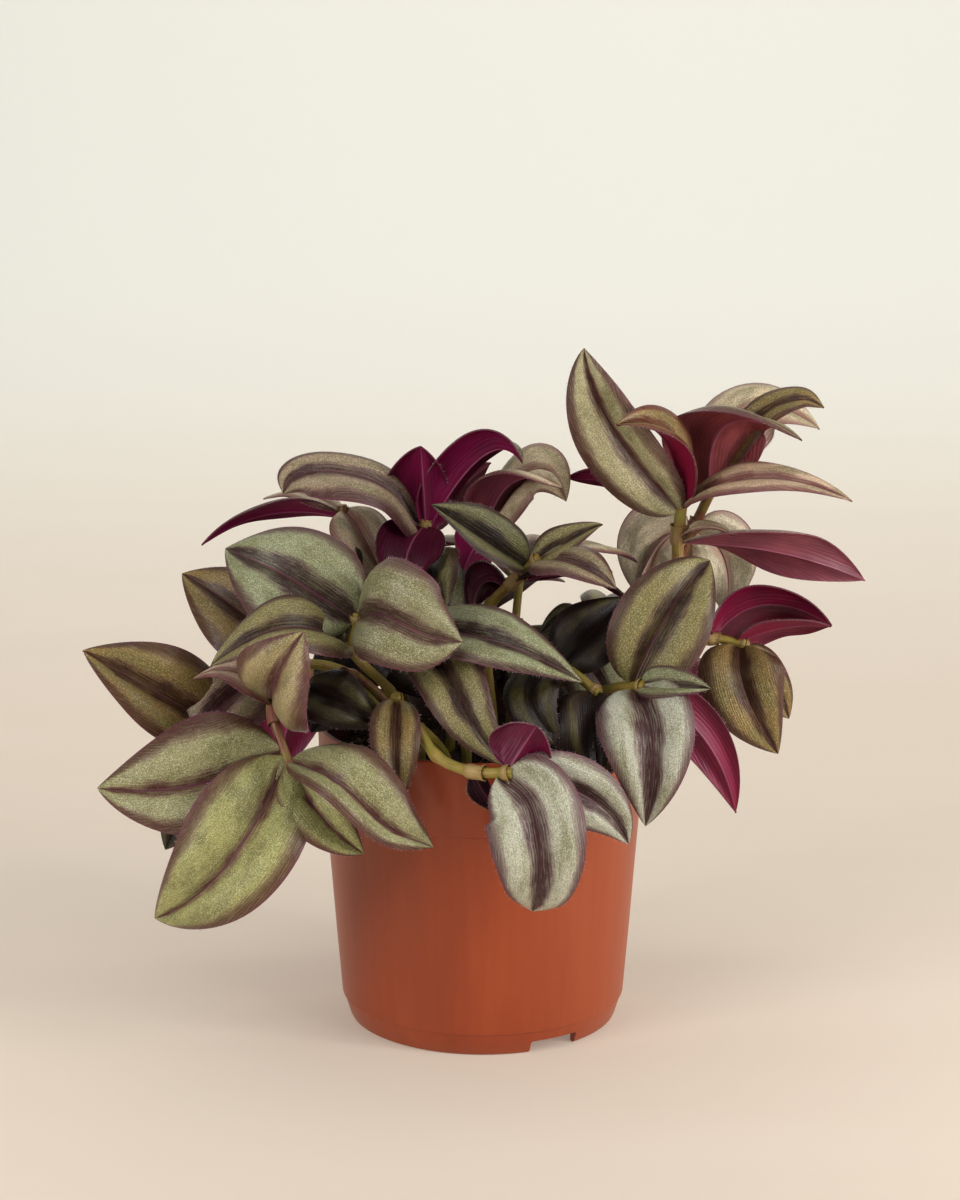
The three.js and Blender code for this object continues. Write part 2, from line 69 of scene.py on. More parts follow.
DRAIN_DEPTH = 8
WALL_MIDDLE_AT_FOOT = 50.2
WALL_SLOPE = 0.078
LEAST_GAP = 0.01
SHARP_POT_EDGE = 35


def paint(red, green, blue):
    """A colour as a painter mixes it, 0 to 255, turned into the light that it sends back."""
    channels = []
    for value in (red, green, blue):
        share = value / 255
        channels.append(share / 12.92 if share <= 0.04045 else ((share + 0.055) / 1.055) ** 2.4)
    return (*channels, 1.0)


def add_node(tree, kind, wires=None, **settings):
    """One node with its settings, and each of its inputs joined to a socket or set to a value."""
    node = tree.nodes.new(kind)
    for name, value in settings.items():
        setattr(node, name, value)
    for name, value in (wires or {}).items():
        socket = node.inputs[name]
        if isinstance(value, bpy.types.NodeSocket):
            tree.links.new(value, socket)
        else:
            socket.default_value = value
    return node


def math_node(tree, operation, *values, clamp=False):
    wires = dict(enumerate(values))
    return add_node(tree, "ShaderNodeMath", wires, operation=operation, use_clamp=clamp).outputs[0]


def times(tree, first, second):
    return math_node(tree, "MULTIPLY", first, second)


def layered(tree, colour, *layers):
    """Lays each colour over those before it, by its share, as a mix unless it says otherwise."""
    for share, over, *mode in layers:
        wires = {0: share, 6: colour, 7: over}
        mode = mode[0] if mode else "MIX"
        colour = add_node(tree, "ShaderNodeMix", wires, data_type="RGBA", blend_type=mode).outputs[2]
    return colour


def ease(tree, value, low, high, start=0.0, end=1.0):
    wires = {"Value": value, "From Min": low, "From Max": high, "To Min": start, "To Max": end}
    return add_node(tree, "ShaderNodeMapRange", wires, interpolation_type="SMOOTHSTEP").outputs[0]


def stretched(tree, vector, x, y, z):
    wires = {0: vector, 1: (x, y, z)}
    return add_node(tree, "ShaderNodeVectorMath", wires, operation="MULTIPLY").outputs[0]


def parts_of(tree, vector):
    return add_node(tree, "ShaderNodeSeparateXYZ", {0: vector}).outputs


def grain(tree, vector, scale, detail=3.0, roughness=0.5):
    wires = {"Vector": vector, "Scale": scale, "Detail": detail, "Roughness": roughness}
    return add_node(tree, "ShaderNodeTexNoise", wires).outputs[0]


def new_material(name, **values):
    """An empty material with its Principled surface, and the values that are the same all over it."""
    material = bpy.data.materials.new(name)
    material.use_nodes = True
    tree = material.node_tree
    surface = tree.nodes["Principled BSDF"]
    for socket, value in values.items():
        surface.inputs[socket.replace("_", " ")].default_value = value
    return material, tree, surface


def object_place(tree):
    return add_node(tree, "ShaderNodeTexCoord").outputs["Object"]


def dress(tree, surface, colour, roughness, skin=None, strength=0.5, depth=0.12):
    """Joins the colour, the roughness and a relief, its depth in millimetres, to a surface."""
    tree.links.new(colour, surface.inputs["Base Color"])
    tree.links.new(roughness, surface.inputs["Roughness"])
    if skin is not None:
        wires = {"Strength": strength, "Distance": depth * MM, "Height": skin}
        relief = add_node(tree, "ShaderNodeBump", wires).outputs[0]
        tree.links.new(relief, surface.inputs["Normal"])


def let_go():
    if bpy.context.object and bpy.context.object.mode != "OBJECT":
        bpy.ops.object.mode_set(mode="OBJECT")
    bpy.ops.object.select_all(action="DESELECT")


def take(piece):
    let_go()
    piece.select_set(True)
    bpy.context.view_layer.objects.active = piece


def apply_modifier(piece, kind, **settings):
    take(piece)
    modifier = piece.modifiers.new(kind.lower(), kind)
    for name, value in settings.items():
        setattr(modifier, name, value)
    bpy.ops.object.modifier_apply(modifier=modifier.name)


def close_up(piece, fill_ends=True):
    """Merges a piece's doubled points, fills its open ends and turns all its faces outwards."""
    take(piece)
    bpy.ops.object.mode_set(mode="EDIT")
    bpy.ops.mesh.select_all(action="SELECT")
    bpy.ops.mesh.remove_doubles(threshold=LEAST_GAP * MM)
    if fill_ends:
        bpy.ops.mesh.fill_holes(sides=0)
        bpy.ops.mesh.select_all(action="SELECT")
    bpy.ops.mesh.normals_make_consistent(inside=False)
    bpy.ops.object.mode_set(mode="OBJECT")


def settle(piece, name, sharp_edge):
    """Puts the finished piece's place in its mesh, and smooths all edges less sharp than the angle."""
    take(piece)
    bpy.ops.object.transform_apply(location=True, rotation=True, scale=True)
    bpy.ops.object.shade_smooth_by_angle(angle=math.radians(sharp_edge))
    piece.name = piece.data.name = name
    let_go()


def turned_piece(profile, segments):
    """A closed turned body: a ring is added, and pulled from each radius and height to the next."""
    let_go()
    radius, height = profile[0]
    bpy.ops.mesh.primitive_circle_add(
        vertices=segments, radius=radius * MM, location=(0, 0, height * MM))
    piece = bpy.context.object
    bpy.ops.object.transform_apply(location=True, rotation=False, scale=False)
    bpy.ops.object.mode_set(mode="EDIT")
    bpy.ops.mesh.select_all(action="SELECT")
    for next_radius, next_height in profile[1:]:
        bpy.ops.mesh.extrude_edges_move(
            TRANSFORM_OT_translate={"value": (0, 0, (next_height - height) * MM)})
        share = next_radius / radius
        bpy.ops.transform.resize(value=(share, share, 1), center_override=(0, 0, 0))
        radius, height = next_radius, next_height
    close_up(piece)
    return piece


def on_circle(radius, turn):
    return radius * math.cos(turn), radius * math.sin(turn)


def cut_away(piece, cutter):
    apply_modifier(piece, "BOOLEAN", operation="DIFFERENCE", solver="EXACT", object=cutter)
    bpy.data.objects.remove(cutter)


pot = turned_piece(FOOT_PROFILE + WALL_PROFILE + COLLAR_PROFILE + INNER_PROFILE, POT_SEGMENTS)
for angle in NOTCH_ANGLES:
    let_go()
    turn = math.radians(angle)
    bpy.ops.mesh.primitive_cube_add(
        size=1, location=(*on_circle(FOOT_RADIUS * MM, turn), 0), rotation=(0, 0, turn),
        scale=(NOTCH_DEPTH * MM, NOTCH_WIDTH * MM, 2 * NOTCH_HEIGHT * MM))
    notch = bpy.context.object
    bpy.ops.object.transform_apply(location=False, rotation=False, scale=True)
    apply_modifier(notch, "BEVEL", width=NOTCH_ROUNDING * MM, segments=4)
    cut_away(pot, notch)
for number in range(DRAIN_COUNT):
    let_go()
    x, y = on_circle(DRAIN_CIRCLE * MM, 2 * math.pi * (number + 0.5) / DRAIN_COUNT)
    bpy.ops.mesh.primitive_cylinder_add(
        vertices=DRAIN_SIDES, radius=DRAIN_RADIUS * MM, depth=DRAIN_DEPTH * MM,
        location=(x, y, (FLOOR_BELOW + FLOOR_ABOVE) / 2 * MM))
    cut_away(pot, bpy.context.object)

pot_plastic, tree, surface = new_material(
    "pot_plastic", Specular_IOR_Level=0.5, Coat_Weight=0.3, Coat_Roughness=0.3)
where = object_place(tree)
clouds = grain(tree, stretched(tree, where, 30, 30, 9), 1.0, 4)
flow = grain(tree, stretched(tree, where, 260, 260, 6), 1.0, 3)
specks = grain(tree, where, 900.0, 2)
scuffs = ease(tree, grain(tree, stretched(tree, where, 90, 90, 700), 1.0, 5, 0.7), 0.7, 0.8)
height = parts_of(tree, where)[2]
level = stretched(tree, where, 1, 1, 0)
from_axis = add_node(tree, "ShaderNodeVectorMath", {0: level}, operation="LENGTH").outputs["Value"]
wall_middle = math_node(tree, "MULTIPLY_ADD", height, WALL_SLOPE, WALL_MIDDLE_AT_FOOT * MM)
from_wall = math_node(tree, "SUBTRACT", from_axis, wall_middle)
# Painted shade: the inner face of the wall, from about 3 cm up, is painted the dark brown of shadow.
inside = times(tree, ease(tree, from_wall, 0.0005, 0.0001), ease(tree, height, 0.02, 0.04))
body = layered(
    tree, paint(150, 66, 29),
    (ease(tree, clouds, 0.3, 0.7), paint(162, 75, 34)),
    (ease(tree, flow, 0.35, 0.75, 0.0, 0.12), paint(192, 95, 48)),
    (ease(tree, specks, 0.62, 0.8, 0.0, 0.18), paint(134, 56, 28)),
    (times(tree, scuffs, 0.25), paint(214, 144, 106)),
    (ease(tree, height, 0.006, 0.0, 0.0, 0.35), paint(150, 84, 56)),
    # painted shade on the inner face of the wall
    (times(tree, inside, 0.92), paint(40, 20, 13)))
shine = math_node(tree, "ADD", ease(tree, clouds, 0.25, 0.75, 0.4, 0.47), times(tree, scuffs, 0.2))
skin = math_node(tree, "ADD", times(tree, flow, 0.35), times(tree, specks, 0.25))
dress(tree, surface, body, shine, skin, strength=0.35)
pot.data.materials.clear()
pot.data.materials.append(pot_plastic)
settle(pot, "nursery_pot", SHARP_POT_EDGE)
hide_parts("pot")
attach(pot, "root")


# The soil: dark peat potting mix, poured in and watered down, with a lumpy top about 13 mm below the
# rim. Loose crumbs of peat and a few pale fibres lie on it.
SOIL_TOP = 98
SOIL_SEGMENTS = 112
SOIL_PROFILE = [(45, 7.3), (48.2, 9), (49.9, 32), (51.9, 58), (53.9, 83), (56.9, 88), (57.2, 96.2)]
SOIL_PROFILE += [(56.5 - 1.75 * ring, SOIL_TOP) for ring in range(32)]
UNEVENNESS = 2.2
LUMPS_PER_MM = 0.09
LUMP_SHARE = 0.55
CLODS_PER_MM = 0.55
CLOD_SHARE = 0.3
SETTLING = 0.4
CRUMB_COUNT = 900
CRUMB_REACH = 56
LEAST_CRUMB = 0.35
CRUMB_SPREAD = 1.5
CRUMB_LIFT = 0.35
CRUMB_FLATNESS = 0.75
CRUMB_ROUGHNESS = (0.7, 1.15)
FIBRE_COUNT = 60
FIBRE_REACH = 50
FIBRE_RADIUS = 0.14
FIBRE_HALF_LENGTHS = (1.5, 5)
FIBRE_LIFT = 0.5
FIBRE_TILT = 0.2
NEARLY_A_TURN = 6.28
SHARP_SOIL_EDGE = 60


def soil_height(x, y):
    """How high the soil's top lies at a place, all in millimetres."""
    lumps = noise.fractal(Vector((x * LUMPS_PER_MM, y * LUMPS_PER_MM, 3.7)), 0.9, 2.1, 4)
    clods = noise.noise(Vector((x * CLODS_PER_MM, y * CLODS_PER_MM, 8.1)))
    return SOIL_TOP + UNEVENNESS * (LUMP_SHARE * lumps + CLOD_SHARE * clods) - SETTLING


def spot_on_soil(reach):
    """A random place on the soil, within a reach in millimetres of its middle."""
    return on_circle(reach * math.sqrt(chance.random()), chance.uniform(0, 2 * math.pi))


def random_turn(axis, least=0.0, most=NEARLY_A_TURN):
    return Matrix.Rotation(chance.uniform(least, most), 3, axis)


def put_in_scene(name, data):
    item = bpy.data.objects.new(name, data)
    bpy.context.scene.collection.objects.link(item)
    return item


def loose_piece(name, bits, faces, material):
    """Many small closed bits as one piece: the points of each in millimetres, and the faces of one."""
    points = [point * MM for bit in bits for point in bit]
    starts = range(0, len(points), len(bits[0]))
    all_faces = [[start + corner for corner in face] for start in starts for face in faces]
    mesh = bpy.data.meshes.new(name)
    mesh.from_pydata(points, [], all_faces)
    mesh.materials.append(material)
    return put_in_scene(name, mesh)


soil = turned_piece(SOIL_PROFILE, SOIL_SEGMENTS)
for vertex in soil.data.vertices:
    x, y, z = (value / MM for value in vertex.co)
    if z > SOIL_TOP - 0.5:
        vertex.co.z = soil_height(x, y) * MM

peat, tree, surface = new_material("peat", Specular_IOR_Level=0.25)
where = object_place(tree)
coarse = grain(tree, where, 260.0, 5, 0.65)
fine = grain(tree, where, 1500.0, 3, 0.6)
bits = add_node(tree, "ShaderNodeTexVoronoi", {"Vector": where, "Scale": 700.0}).outputs["Color"]
bit = add_node(tree, "ShaderNodeSeparateColor", {0: bits}).outputs[0]
earth = layered(
    tree, paint(26, 18, 13),
    (ease(tree, coarse, 0.35, 0.7), paint(62, 44, 31)),
    (ease(tree, fine, 0.5, 0.8, 0.0, 0.6), paint(86, 64, 46)),
    (ease(tree, bit, 0.93, 0.96, 0.0, 0.7), paint(122, 98, 70)))
rough = math_node(tree, "ADD", coarse, times(tree, fine, 0.5))
dress(tree, surface, earth, ease(tree, fine, 0.3, 0.7, 0.95, 0.8), rough, strength=0.8, depth=1.2)
soil.data.materials.append(peat)
settle(soil, "potting_soil", SHARP_SOIL_EDGE)
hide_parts("soil")
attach(soil, "root")

chance = random.Random(41)
let_go()
bpy.ops.mesh.primitive_ico_sphere_add(subdivisions=1, radius=1, location=(0, 0, 0))
one_crumb = bpy.context.object
crumb_points = [vertex.co.copy() for vertex in one_crumb.data.vertices]
crumb_faces = [tuple(face.vertices) for face in one_crumb.data.polygons]
bpy.data.objects.remove(one_crumb)
heap = []
for _ in range(CRUMB_COUNT):
    x, y = spot_on_soil(CRUMB_REACH)
    size = LEAST_CRUMB + CRUMB_SPREAD * chance.random() ** 3
    shape = random_turn("X") @ random_turn("Z")
    middle = Vector((x, y, soil_height(x, y) + size * CRUMB_LIFT))
    crumb = []
    for point in crumb_points:
        rough_point = point * size * chance.uniform(*CRUMB_ROUGHNESS)
        rough_point.z *= CRUMB_FLATNESS
        crumb.append(middle + shape @ rough_point)
    heap.append(crumb)
crumbs = loose_piece("peat_crumbs", heap, crumb_faces, peat)
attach(crumbs, "root")

dry_fibre, tree, surface = new_material("dry_fibre", Specular_IOR_Level=0.3)
mottle = grain(tree, object_place(tree), 600.0, 3)
straw = layered(tree, paint(104, 78, 52), (mottle, paint(156, 126, 92)))
dress(tree, surface, straw, ease(tree, mottle, 0.3, 0.7, 0.75, 0.9))
heap = []
for _ in range(FIBRE_COUNT):
    x, y = spot_on_soil(FIBRE_REACH)
    middle = Vector((x, y, soil_height(x, y) + FIBRE_LIFT))
    shape = random_turn("Z") @ random_turn("Y", -FIBRE_TILT, FIBRE_TILT)
    shape @= Matrix.Diagonal((chance.uniform(*FIBRE_HALF_LENGTHS), FIBRE_RADIUS, FIBRE_RADIUS))
    heap.append([middle + shape @ point for point in crumb_points])
fibres = loose_piece("peat_fibres", heap, crumb_faces, dry_fibre)
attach(fibres, "root")


# The leafy stems: cuttings that grew together, up out of the soil and over the rim. Each is a jointed
# round stalk, yellow-green with pink dashes, with a thin closed sheath round each leafy joint. All in
# mm.
ROOT_DEPTH = 12
ROOT_KNOTS = 3
STALK_SIDES = 16
STALK_RINGS_PER_JOINT = 12
STALK_GIRTH = 0.93
STALK_FOOT = 1.02
STALK_TAPER = 0.16
STALK_RIBBING = 0.02
JOINT_SWELLING = 0.45
SWELLING_REACH = 2.2
SHEATH_WALL = 0.25
SHEATH_GIRTH = 0.9
SHEATH_RIBBING = 0.1
SHEATH_LIP = 0.35
SHEATH_PROFILE = [
    (-2.6, -0.1), (-1.9, 0.35), (-1.0, 0.62), (0, 0.7), (1.4, 0.6), (3.0, 0.55), (4.4, 0.7), (5.4, 1.0),
]
SHEATH_PATTERN_SHIFT = 20
BLUSH = {"right_back": 1.0, "centre": 0.25, "right_tall": 0.45, "back_left": 0.8, "low_left": 1.1}
PLAIN_BLUSH = 0.15
SHARP_STALK_EDGE = 60

# A stem: name, radius, where it leaves the soil, its joints and its leaves. A leaf: its joint, its tip,
# the way its upper face looks, width, arch (a share of its length, or one or more points of its
# midrib), the upward fold of each half, twist, the share by which one half is wider, and its look.
LEAFY_STEMS = [
    ("low_left", 2, (-26, -8), [(-47, -14, 131), (-63, -32, 130), (-73, -45, 128), (-67, -54, 109)], [
        (3, (-134, -52, 100), (-0.1, -0.93, 0.35), 43, (-101, -60, 103), 6, 0, 0.12, "field"),
        (3, (-114, -62, 56), (0.05, -0.9, 0.4), 42, (-87, -76, 80), 14, 0, 0.05, "meadow"),
        (3, (-17, -76, 86), (0.25, -0.8, 0.55), 26, ((-50, -78, 110), (-32, -80, 94)), 12, 15,
         -0.35, "field"),
        (3, (-41, -70, 82), (0.1, -0.95, 0.2), 23, (-55, -70, 95), 20, 0, 0, "meadow"),
        (2, (-60, -74, 161), (-0.35, -0.9, 0.1), 36, (-70, -69, 144), 14, 0, 0.1, "dusk"),
        (2, (-101, -40, 136), (0, -0.1, 1), 22, 0.22, 10, 0, 0, "rose"),
        (1, (-36, -46, 120), (-0.1, -0.8, 0.5), 22, (-50, -48, 130), 12, 0, 0, "shade"),
        (0, (-61, -26, 113), (-0.1, -0.9, 0.3), 22, 0.05, 10, 0, 0, "deep"),
    ]),
    ("left_back", 2, (-34, 4), [(-50, -6, 130), (-64, -14, 135), (-80, -22, 132), (-93, -28, 111)], [
        (3, (-139, -43, 147), (0.25, -0.85, 0.45), 34, 0.05, 12, 0, 0.12, "bronze"),
        (2, (-105, -38, 109), (-0.3, -0.85, 0.45), 32, 0.12, 10, 0, 0, "slate"),
        (3, (-113, -34, 72), (0.1, -0.9, 0.4), 24, 0.08, 10, 0, 0, "shade"),
        (1, (-108, -4, 166), (-0.1, -0.8, 0.6), 36, 0.12, 10, 0, 0, "bronze"),
    ]),
    ("left_mid", 2, (-24, -18), [(-33, -25, 128), (-46, -32, 145), (-44, -32, 156)], [
        (2, (-91, -18, 178), (-0.1, -0.8, 0.6), 44, 0.13, 8, 0, 0, "grey"),
        (1, (-94, -50, 143), (-0.05, -0.6, 0.8), 28, 0.3, 12, 0, 0, "moss"),
        (2, (-7, -60, 154), (-0.5, -0.75, 0.4), 38, ((-34, -54, 162), (-19, -59, 156)), 10, 0, -0.1,
         "soft"),
    ]),
    ("centre_front", 2, (-6, -24), [(-16, -27, 130), (-28, -28, 152)], [
        (1, (34, -57, 139), (0.05, -0.65, 0.75), 27, 0.13, 12, 0, 0, "grey"),
        (1, (7, -66, 112), (-0.3, -0.85, 0.45), 25, ((-13, -47, 142), (-4, -60, 127)), 14, 0, 0, "moss"),
    ]),
    ("back_left", 1.5, (-26, 16), [(-40, 18, 140), (-50, 16, 171), (-51, 16, 186)], [
        (2, (-102, 8, 174), (0.1, 0.5, 0.85), 18, 0.13, 15, 0, 0, "slate"),
        (2, (-81, 30, 187), (0, 0, 1), 18, 0.1, 10, 0, 0, "pale"),
        (2, (-36, 4, 158), (0.4, -0.8, 0.4), 24, 0.15, 10, 0, 0, "pale"),
        (1, (-47, -8, 161), (0.2, 0.6, 0.3), 20, 0.15, 10, 0, 0, "shade"),
        (0, (-4, 14, 116), (0.1, -0.9, 0.3), 28, 0.08, 10, 0, 0, "deep"),
        (0, (-59, 8, 115), (-0.1, -0.95, 0.3), 30, 0.08, 10, 0, 0, "deep"),
    ]),
    ("centre_left", 2, (-12, 6), [(-24, 8, 146), (-20, 8, 169), (-21, 8, 182)], [
        (2, (-71, -8, 196), (-0.1, -0.65, 0.75), 26, ((-35, 4, 196), (-56, -2, 203), (-68, -7, 201)),
         12, 0, -0.25, "slate"),
        (2, (-22, -8, 213), (0.05, 0.95, 0.1), 26, 0.05, 25, 0, 0.25, "slate"),
        (2, (14, -8, 207), (-0.2, 0.55, 0.8), 28, (0, 0, 208), 30, 0, 0, "slate"),
        (2, (3, 22, 202), (-0.1, 0.75, 0.5), 20, 0.05, 10, 0, 0, "pale"),
        (2, (-25, -15, 163), (0, 0.95, -0.2), 25, (-27, -12, 174), -10, 0, 0, "shade"),
        (1, (-13, -22, 157), (-0.2, -0.7, 0.5), 26, 0.1, 20, 0, 0, "moss"),
    ]),
    ("centre_back", 1.8, (2, 20), [(-2, 18, 151), (1, 14, 179)], [
        (1, (30, 4, 191), (-0.1, -0.65, 0.75), 28, (18, 8, 200), 10, 0, 0, "pale"),
        (1, (28, -14, 199), (-0.1, 0.4, 0.8), 26, (11, -2, 199), 12, 60, 0, "pale"),
        (0, (-5, -3, 111), (0, -0.95, 0.3), 24, 0.04, 10, 0, 0, "deep"),
        (1, (-7, -2, 167), (0.1, 0.9, 0.3), 18, 0.05, 10, 0, 0, "slate"),
    ]),
    ("centre", 2.2, (4, -8), [(2, -12, 154), (10, -16, 165), (19, -20, 174)], [
        (2, (-18, -30, 196), (-0.1, -0.65, 0.75), 25, 0, 34, 0, 0, "glade"),
        (2, (42, -24, 188), (0, -0.65, 0.75), 15, 0.05, 25, 0, 0, "moss"),
        (2, (46, -44, 169), (0.1, -0.55, 0.85), 22, 0.15, 10, 0, 0, "slate"),
        (2, (56, 6, 168), (0, 0, 1), 20, 0.1, 10, 0, 0, "pale"),
        (1, (-4, -16, 153), (-0.2, 0.8, 0.4), 18, (0, -11, 164), 15, 0, 0, "shade"),
        (1, (53, -20, 158), (0, 0.3, 0.9), 24, 0.15, 10, 0, 0, "shade"),
    ]),
    ("centre_small", 1.4, (16, -14), [(34, -14, 140), (37, -14, 154)], [
        (1, (20, -25, 148), (-0.1, -0.6, 0.8), 10, 0.25, 20, 0, 0, "shade"),
        (1, (25, -24, 141), (-0.2, -0.8, 0.5), 12, 0.15, 20, 0, 0, "shade"),
        (0, (42, -4, 156), (0, -0.6, 0.4), 24, 0.1, 10, 0, 0, "deep"),
        (0, (47, -13, 119), (0.1, -0.9, 0.3), 24, 0.1, 10, 0, 0, "grey"),
    ]),
    ("right_tall", 2.6, (34, 2), [(52, -2, 128), (69, -5, 162), (70, -5, 179), (71, -5, 193)], [
        (3, (35, -24, 250), (-0.35, -0.9, 0.2), 29, (45, -22, 223), 20, 0, -0.1, "tall"),
        (3, (46, -36, 225), (0.85, -0.2, 0.5), 24, (63, -22, 218), 42, 0, 0, "rust"),
        (3, (128, -34, 198), (0, -0.5, 0.85), 18, 0.17, 12, 0, 0, "rose"),
        (3, (30, 12, 198), (0, 0.6, 0.8), 24, 0.05, 10, 0, 0, "slate"),
        (2, (139, 8, 161), (0, 0.7, 0.7), 28, (105, -4, 174), 10, -80, 0, "pale"),
        (2, (89, -14, 182), (0, -0.3, 0.9), 8, 0.2, 20, 0, 0, "pale"),
    ]),
    ("right_back", 2.2, (38, 14), [(60, 12, 140), (77, 10, 181), (83, 8, 195)], [
        (2, (111, -26, 218), (-0.15, 0.75, 0.6), 38, (86, -10, 221), 6, 50, 0, "hazel"),
        (2, (122, 4, 225), (-0.2, -0.65, 0.7), 14, ((100, 2, 223), (114, 4, 228)), 15, 0, 0, "bronze"),
        (2, (123, 24, 214), (0, -0.6, 0.8), 30, (98, 22, 221), 8, 0, 0, "pale"),
        (1, (62, 20, 147), (-0.1, -0.9, 0.3), 32, (63, 15, 171), 10, 0, 0, "backlit"),
        (1, (89, 16, 146), (0.1, -0.9, 0.3), 28, (88, 13, 168), 10, 0, 0, "backlit"),
        (1, (58, 16, 151), (-0.2, 0.8, 0.4), 18, (66, 16, 162), 10, 0, 0, "backlit"),
    ]),
    ("right_low", 2, (40, -4), [(62, -2, 130), (83, 4, 140), (95, 4, 138)], [
        (1, (127, 4, 145), (0, 0.75, 0.65), 34, (103, 8, 152), 6, 0, -0.25, "wine"),
        (2, (126, -2, 146), (0.1, 0.55, 0.8), 20, 0.08, 10, 0, -0.3, "rose"),
        (2, (108, 0, 98), (0, -0.95, 0.3), 32, (95, -8, 123), 10, 0, 0, "bronze"),
        (2, (113, 12, 108), (0.2, -0.8, 0.3), 16, 0.1, 10, 0, 0, "bronze"),
    ]),
    ("right_front", 2.2, (28, -20), [(43, -34, 130), (55, -46, 135)], [
        (1, (79, -34, 177), (0.1, -0.9, 0.45), 35, (65, -44, 162), 15, 0, 0, "moss"),
        (1, (56, -64, 90), (-0.1, -0.95, 0.3), 36, (58, -64, 120), 20, 0, 0.08, "silver"),
        (1, (78, -62, 138), (0, -0.8, 0.6), 15, 0.05, 30, 0, 0, "grey"),
        (1, (90, -32, 85), (-0.2, 0.9, 0.3), 19, (78, -40, 114), 10, 0, 0, "wine"),
    ]),
    ("front_right", 2, (14, -28), [(27, -36, 139), (39, -44, 133)], [
        (1, (40, -56, 101), (0.1, -0.95, 0.3), 32, (39, -54, 120), 10, 0, 0.1, "brown"),
        (0, (28, -58, 116), (-0.3, -0.85, 0.5), 22, (17, -52, 132), 15, 0, 0, "shade"),
        (0, (50, -22, 161), (-0.2, -0.9, 0.4), 26, 0.05, 12, 0, 0, "deep"),
    ]),
    ("front", 2.2, (-13, -38), [(-22, -54, 122), (-16, -64, 115), (-4, -73, 112), (8, -78, 113)], [
        (3, (17, -72, 62), (0, -0.98, 0.15), 35, ((15, -81, 104), (19, -85, 88), (19, -81, 72)), 15,
         0, 0, "front"),
        (3, (50, -66, 84), (-0.25, -0.9, 0.3), 25, (35, -71, 103), 15, 0, 0, "silver"),
        (3, (18, -84, 131), (0.3, 0.8, 0.5), 24, 0.05, 20, 0, 0, "silver"),
        (2, (5, -70, 97), (-0.5, 0.5, 0), 10, 0.05, 20, 0, 0, "deep"),
    ]),
    ("front_left", 1.8, (-22, -30), [(-30, -44, 130)], [
        (0, (-29, -66, 98), (0, -0.95, 0.3), 19, (-30, -63, 117), 20, 0, 0, "bronze"),
    ]),
    ("back_low_left", 2, (-30, 22), [(-42, 34, 128), (-56, 45, 130), (-66, 53, 116)], [
        (2, (-114, 66, 88), (-0.3, 0.5, 0.8), 34, 0.15, 12, 0, 0, "meadow"),
        (2, (-82, 82, 64), (-0.2, 0.9, 0.4), 32, 0.1, 12, 0, 0, "slate"),
        (1, (-96, 30, 142), (-0.2, 0.1, 0.95), 28, 0.15, 12, 0, 0, "silver"),
        (1, (-40, 82, 146), (0.1, 0.4, 0.9), 28, 0.18, 12, 0, 0, "moss"),
        (0, (-74, 52, 154), (-0.3, 0.3, 0.9), 26, 0.15, 12, 0, 0, "grey"),
    ]),
    ("back_mid", 2, (-4, 32), [(-5, 44, 132), (-3, 56, 134), (2, 66, 120)], [
        (2, (-20, 82, 66), (-0.2, 0.9, 0.45), 32, 0.1, 12, 0, 0, "meadow"),
        (2, (28, 81, 70), (0.3, 0.9, 0.45), 32, 0.1, 12, 0, 0, "slate"),
        (1, (-42, 81, 124), (-0.2, 0.5, 0.85), 26, 0.16, 12, 0, 0, "silver"),
        (1, (32, 80, 145), (0.2, 0.3, 0.95), 26, 0.15, 12, 0, 0, "moss"),
        (0, (-14, 76, 157), (0, 0.4, 0.9), 26, 0.2, 12, 0, 0, "grey"),
    ]),
    ("back_low_right", 2, (26, 26), [(38, 36, 130), (50, 46, 130), (60, 54, 115)], [
        (2, (104, 74, 86), (0.5, 0.6, 0.6), 34, 0.14, 12, 0, 0, "meadow"),
        (2, (72, 80, 62), (0.1, 0.95, 0.35), 32, 0.1, 12, 0, 0, "slate"),
        (1, (92, 44, 138), (0.3, 0.1, 0.95), 28, 0.15, 12, 0, 0, "silver"),
        (1, (46, 86, 136), (0.1, 0.4, 0.9), 26, 0.18, 12, 0, 0, "moss"),
        (0, (62, 24, 152), (0.2, 0, 0.95), 26, 0.15, 12, 0, 0, "grey"),
    ]),
    ("back_top", 1.8, (10, 14), [(12, 22, 140), (14, 32, 158)], [
        (1, (-26, 54, 160), (-0.1, 0.3, 0.95), 30, 0.2, 12, 0, 0, "meadow"),
        (1, (34, 70, 156), (0.2, 0.4, 0.9), 30, 0.2, 12, 0, 0, "slate"),
        (1, (48, 26, 160), (0.2, 0, 0.95), 26, 0.2, 12, 0, 0, "silver"),
        (0, (30, 6, 104), (0.2, -0.9, 0.3), 34, 0.1, 10, 0, 0, "deep"),
    ]),
]


def smooth_line(knots):
    """A smooth line through the knots: where it is, and which way it goes, at each share of it."""
    ends = [2 * knots[0] - knots[1], *knots, 2 * knots[-1] - knots[-2]]

    def at(share):
        place = min(max(share, 0.0), 1.0) * (len(knots) - 1)
        span = min(int(place), len(knots) - 2)
        bit = place - span
        a, b, c, d = ends[span:span + 4]
        first, second, third = ((q - p).length ** 0.5 for p, q in ((a, b), (b, c), (c, d)))
        leave = ((b - a) / first - (c - a) / (first + second) + (c - b) / second) * second
        arrive = ((c - b) / second - (d - b) / (second + third) + (d - c) / third) * second
        return (b + leave * bit + (3 * c - 3 * b - 2 * leave - arrive) * bit ** 2
                + (2 * b - 2 * c + leave + arrive) * bit ** 3)

    def along(share):
        return (at(share + 0.0001) - at(share - 0.0001)).normalized()

    return at, along, len(knots) - 1


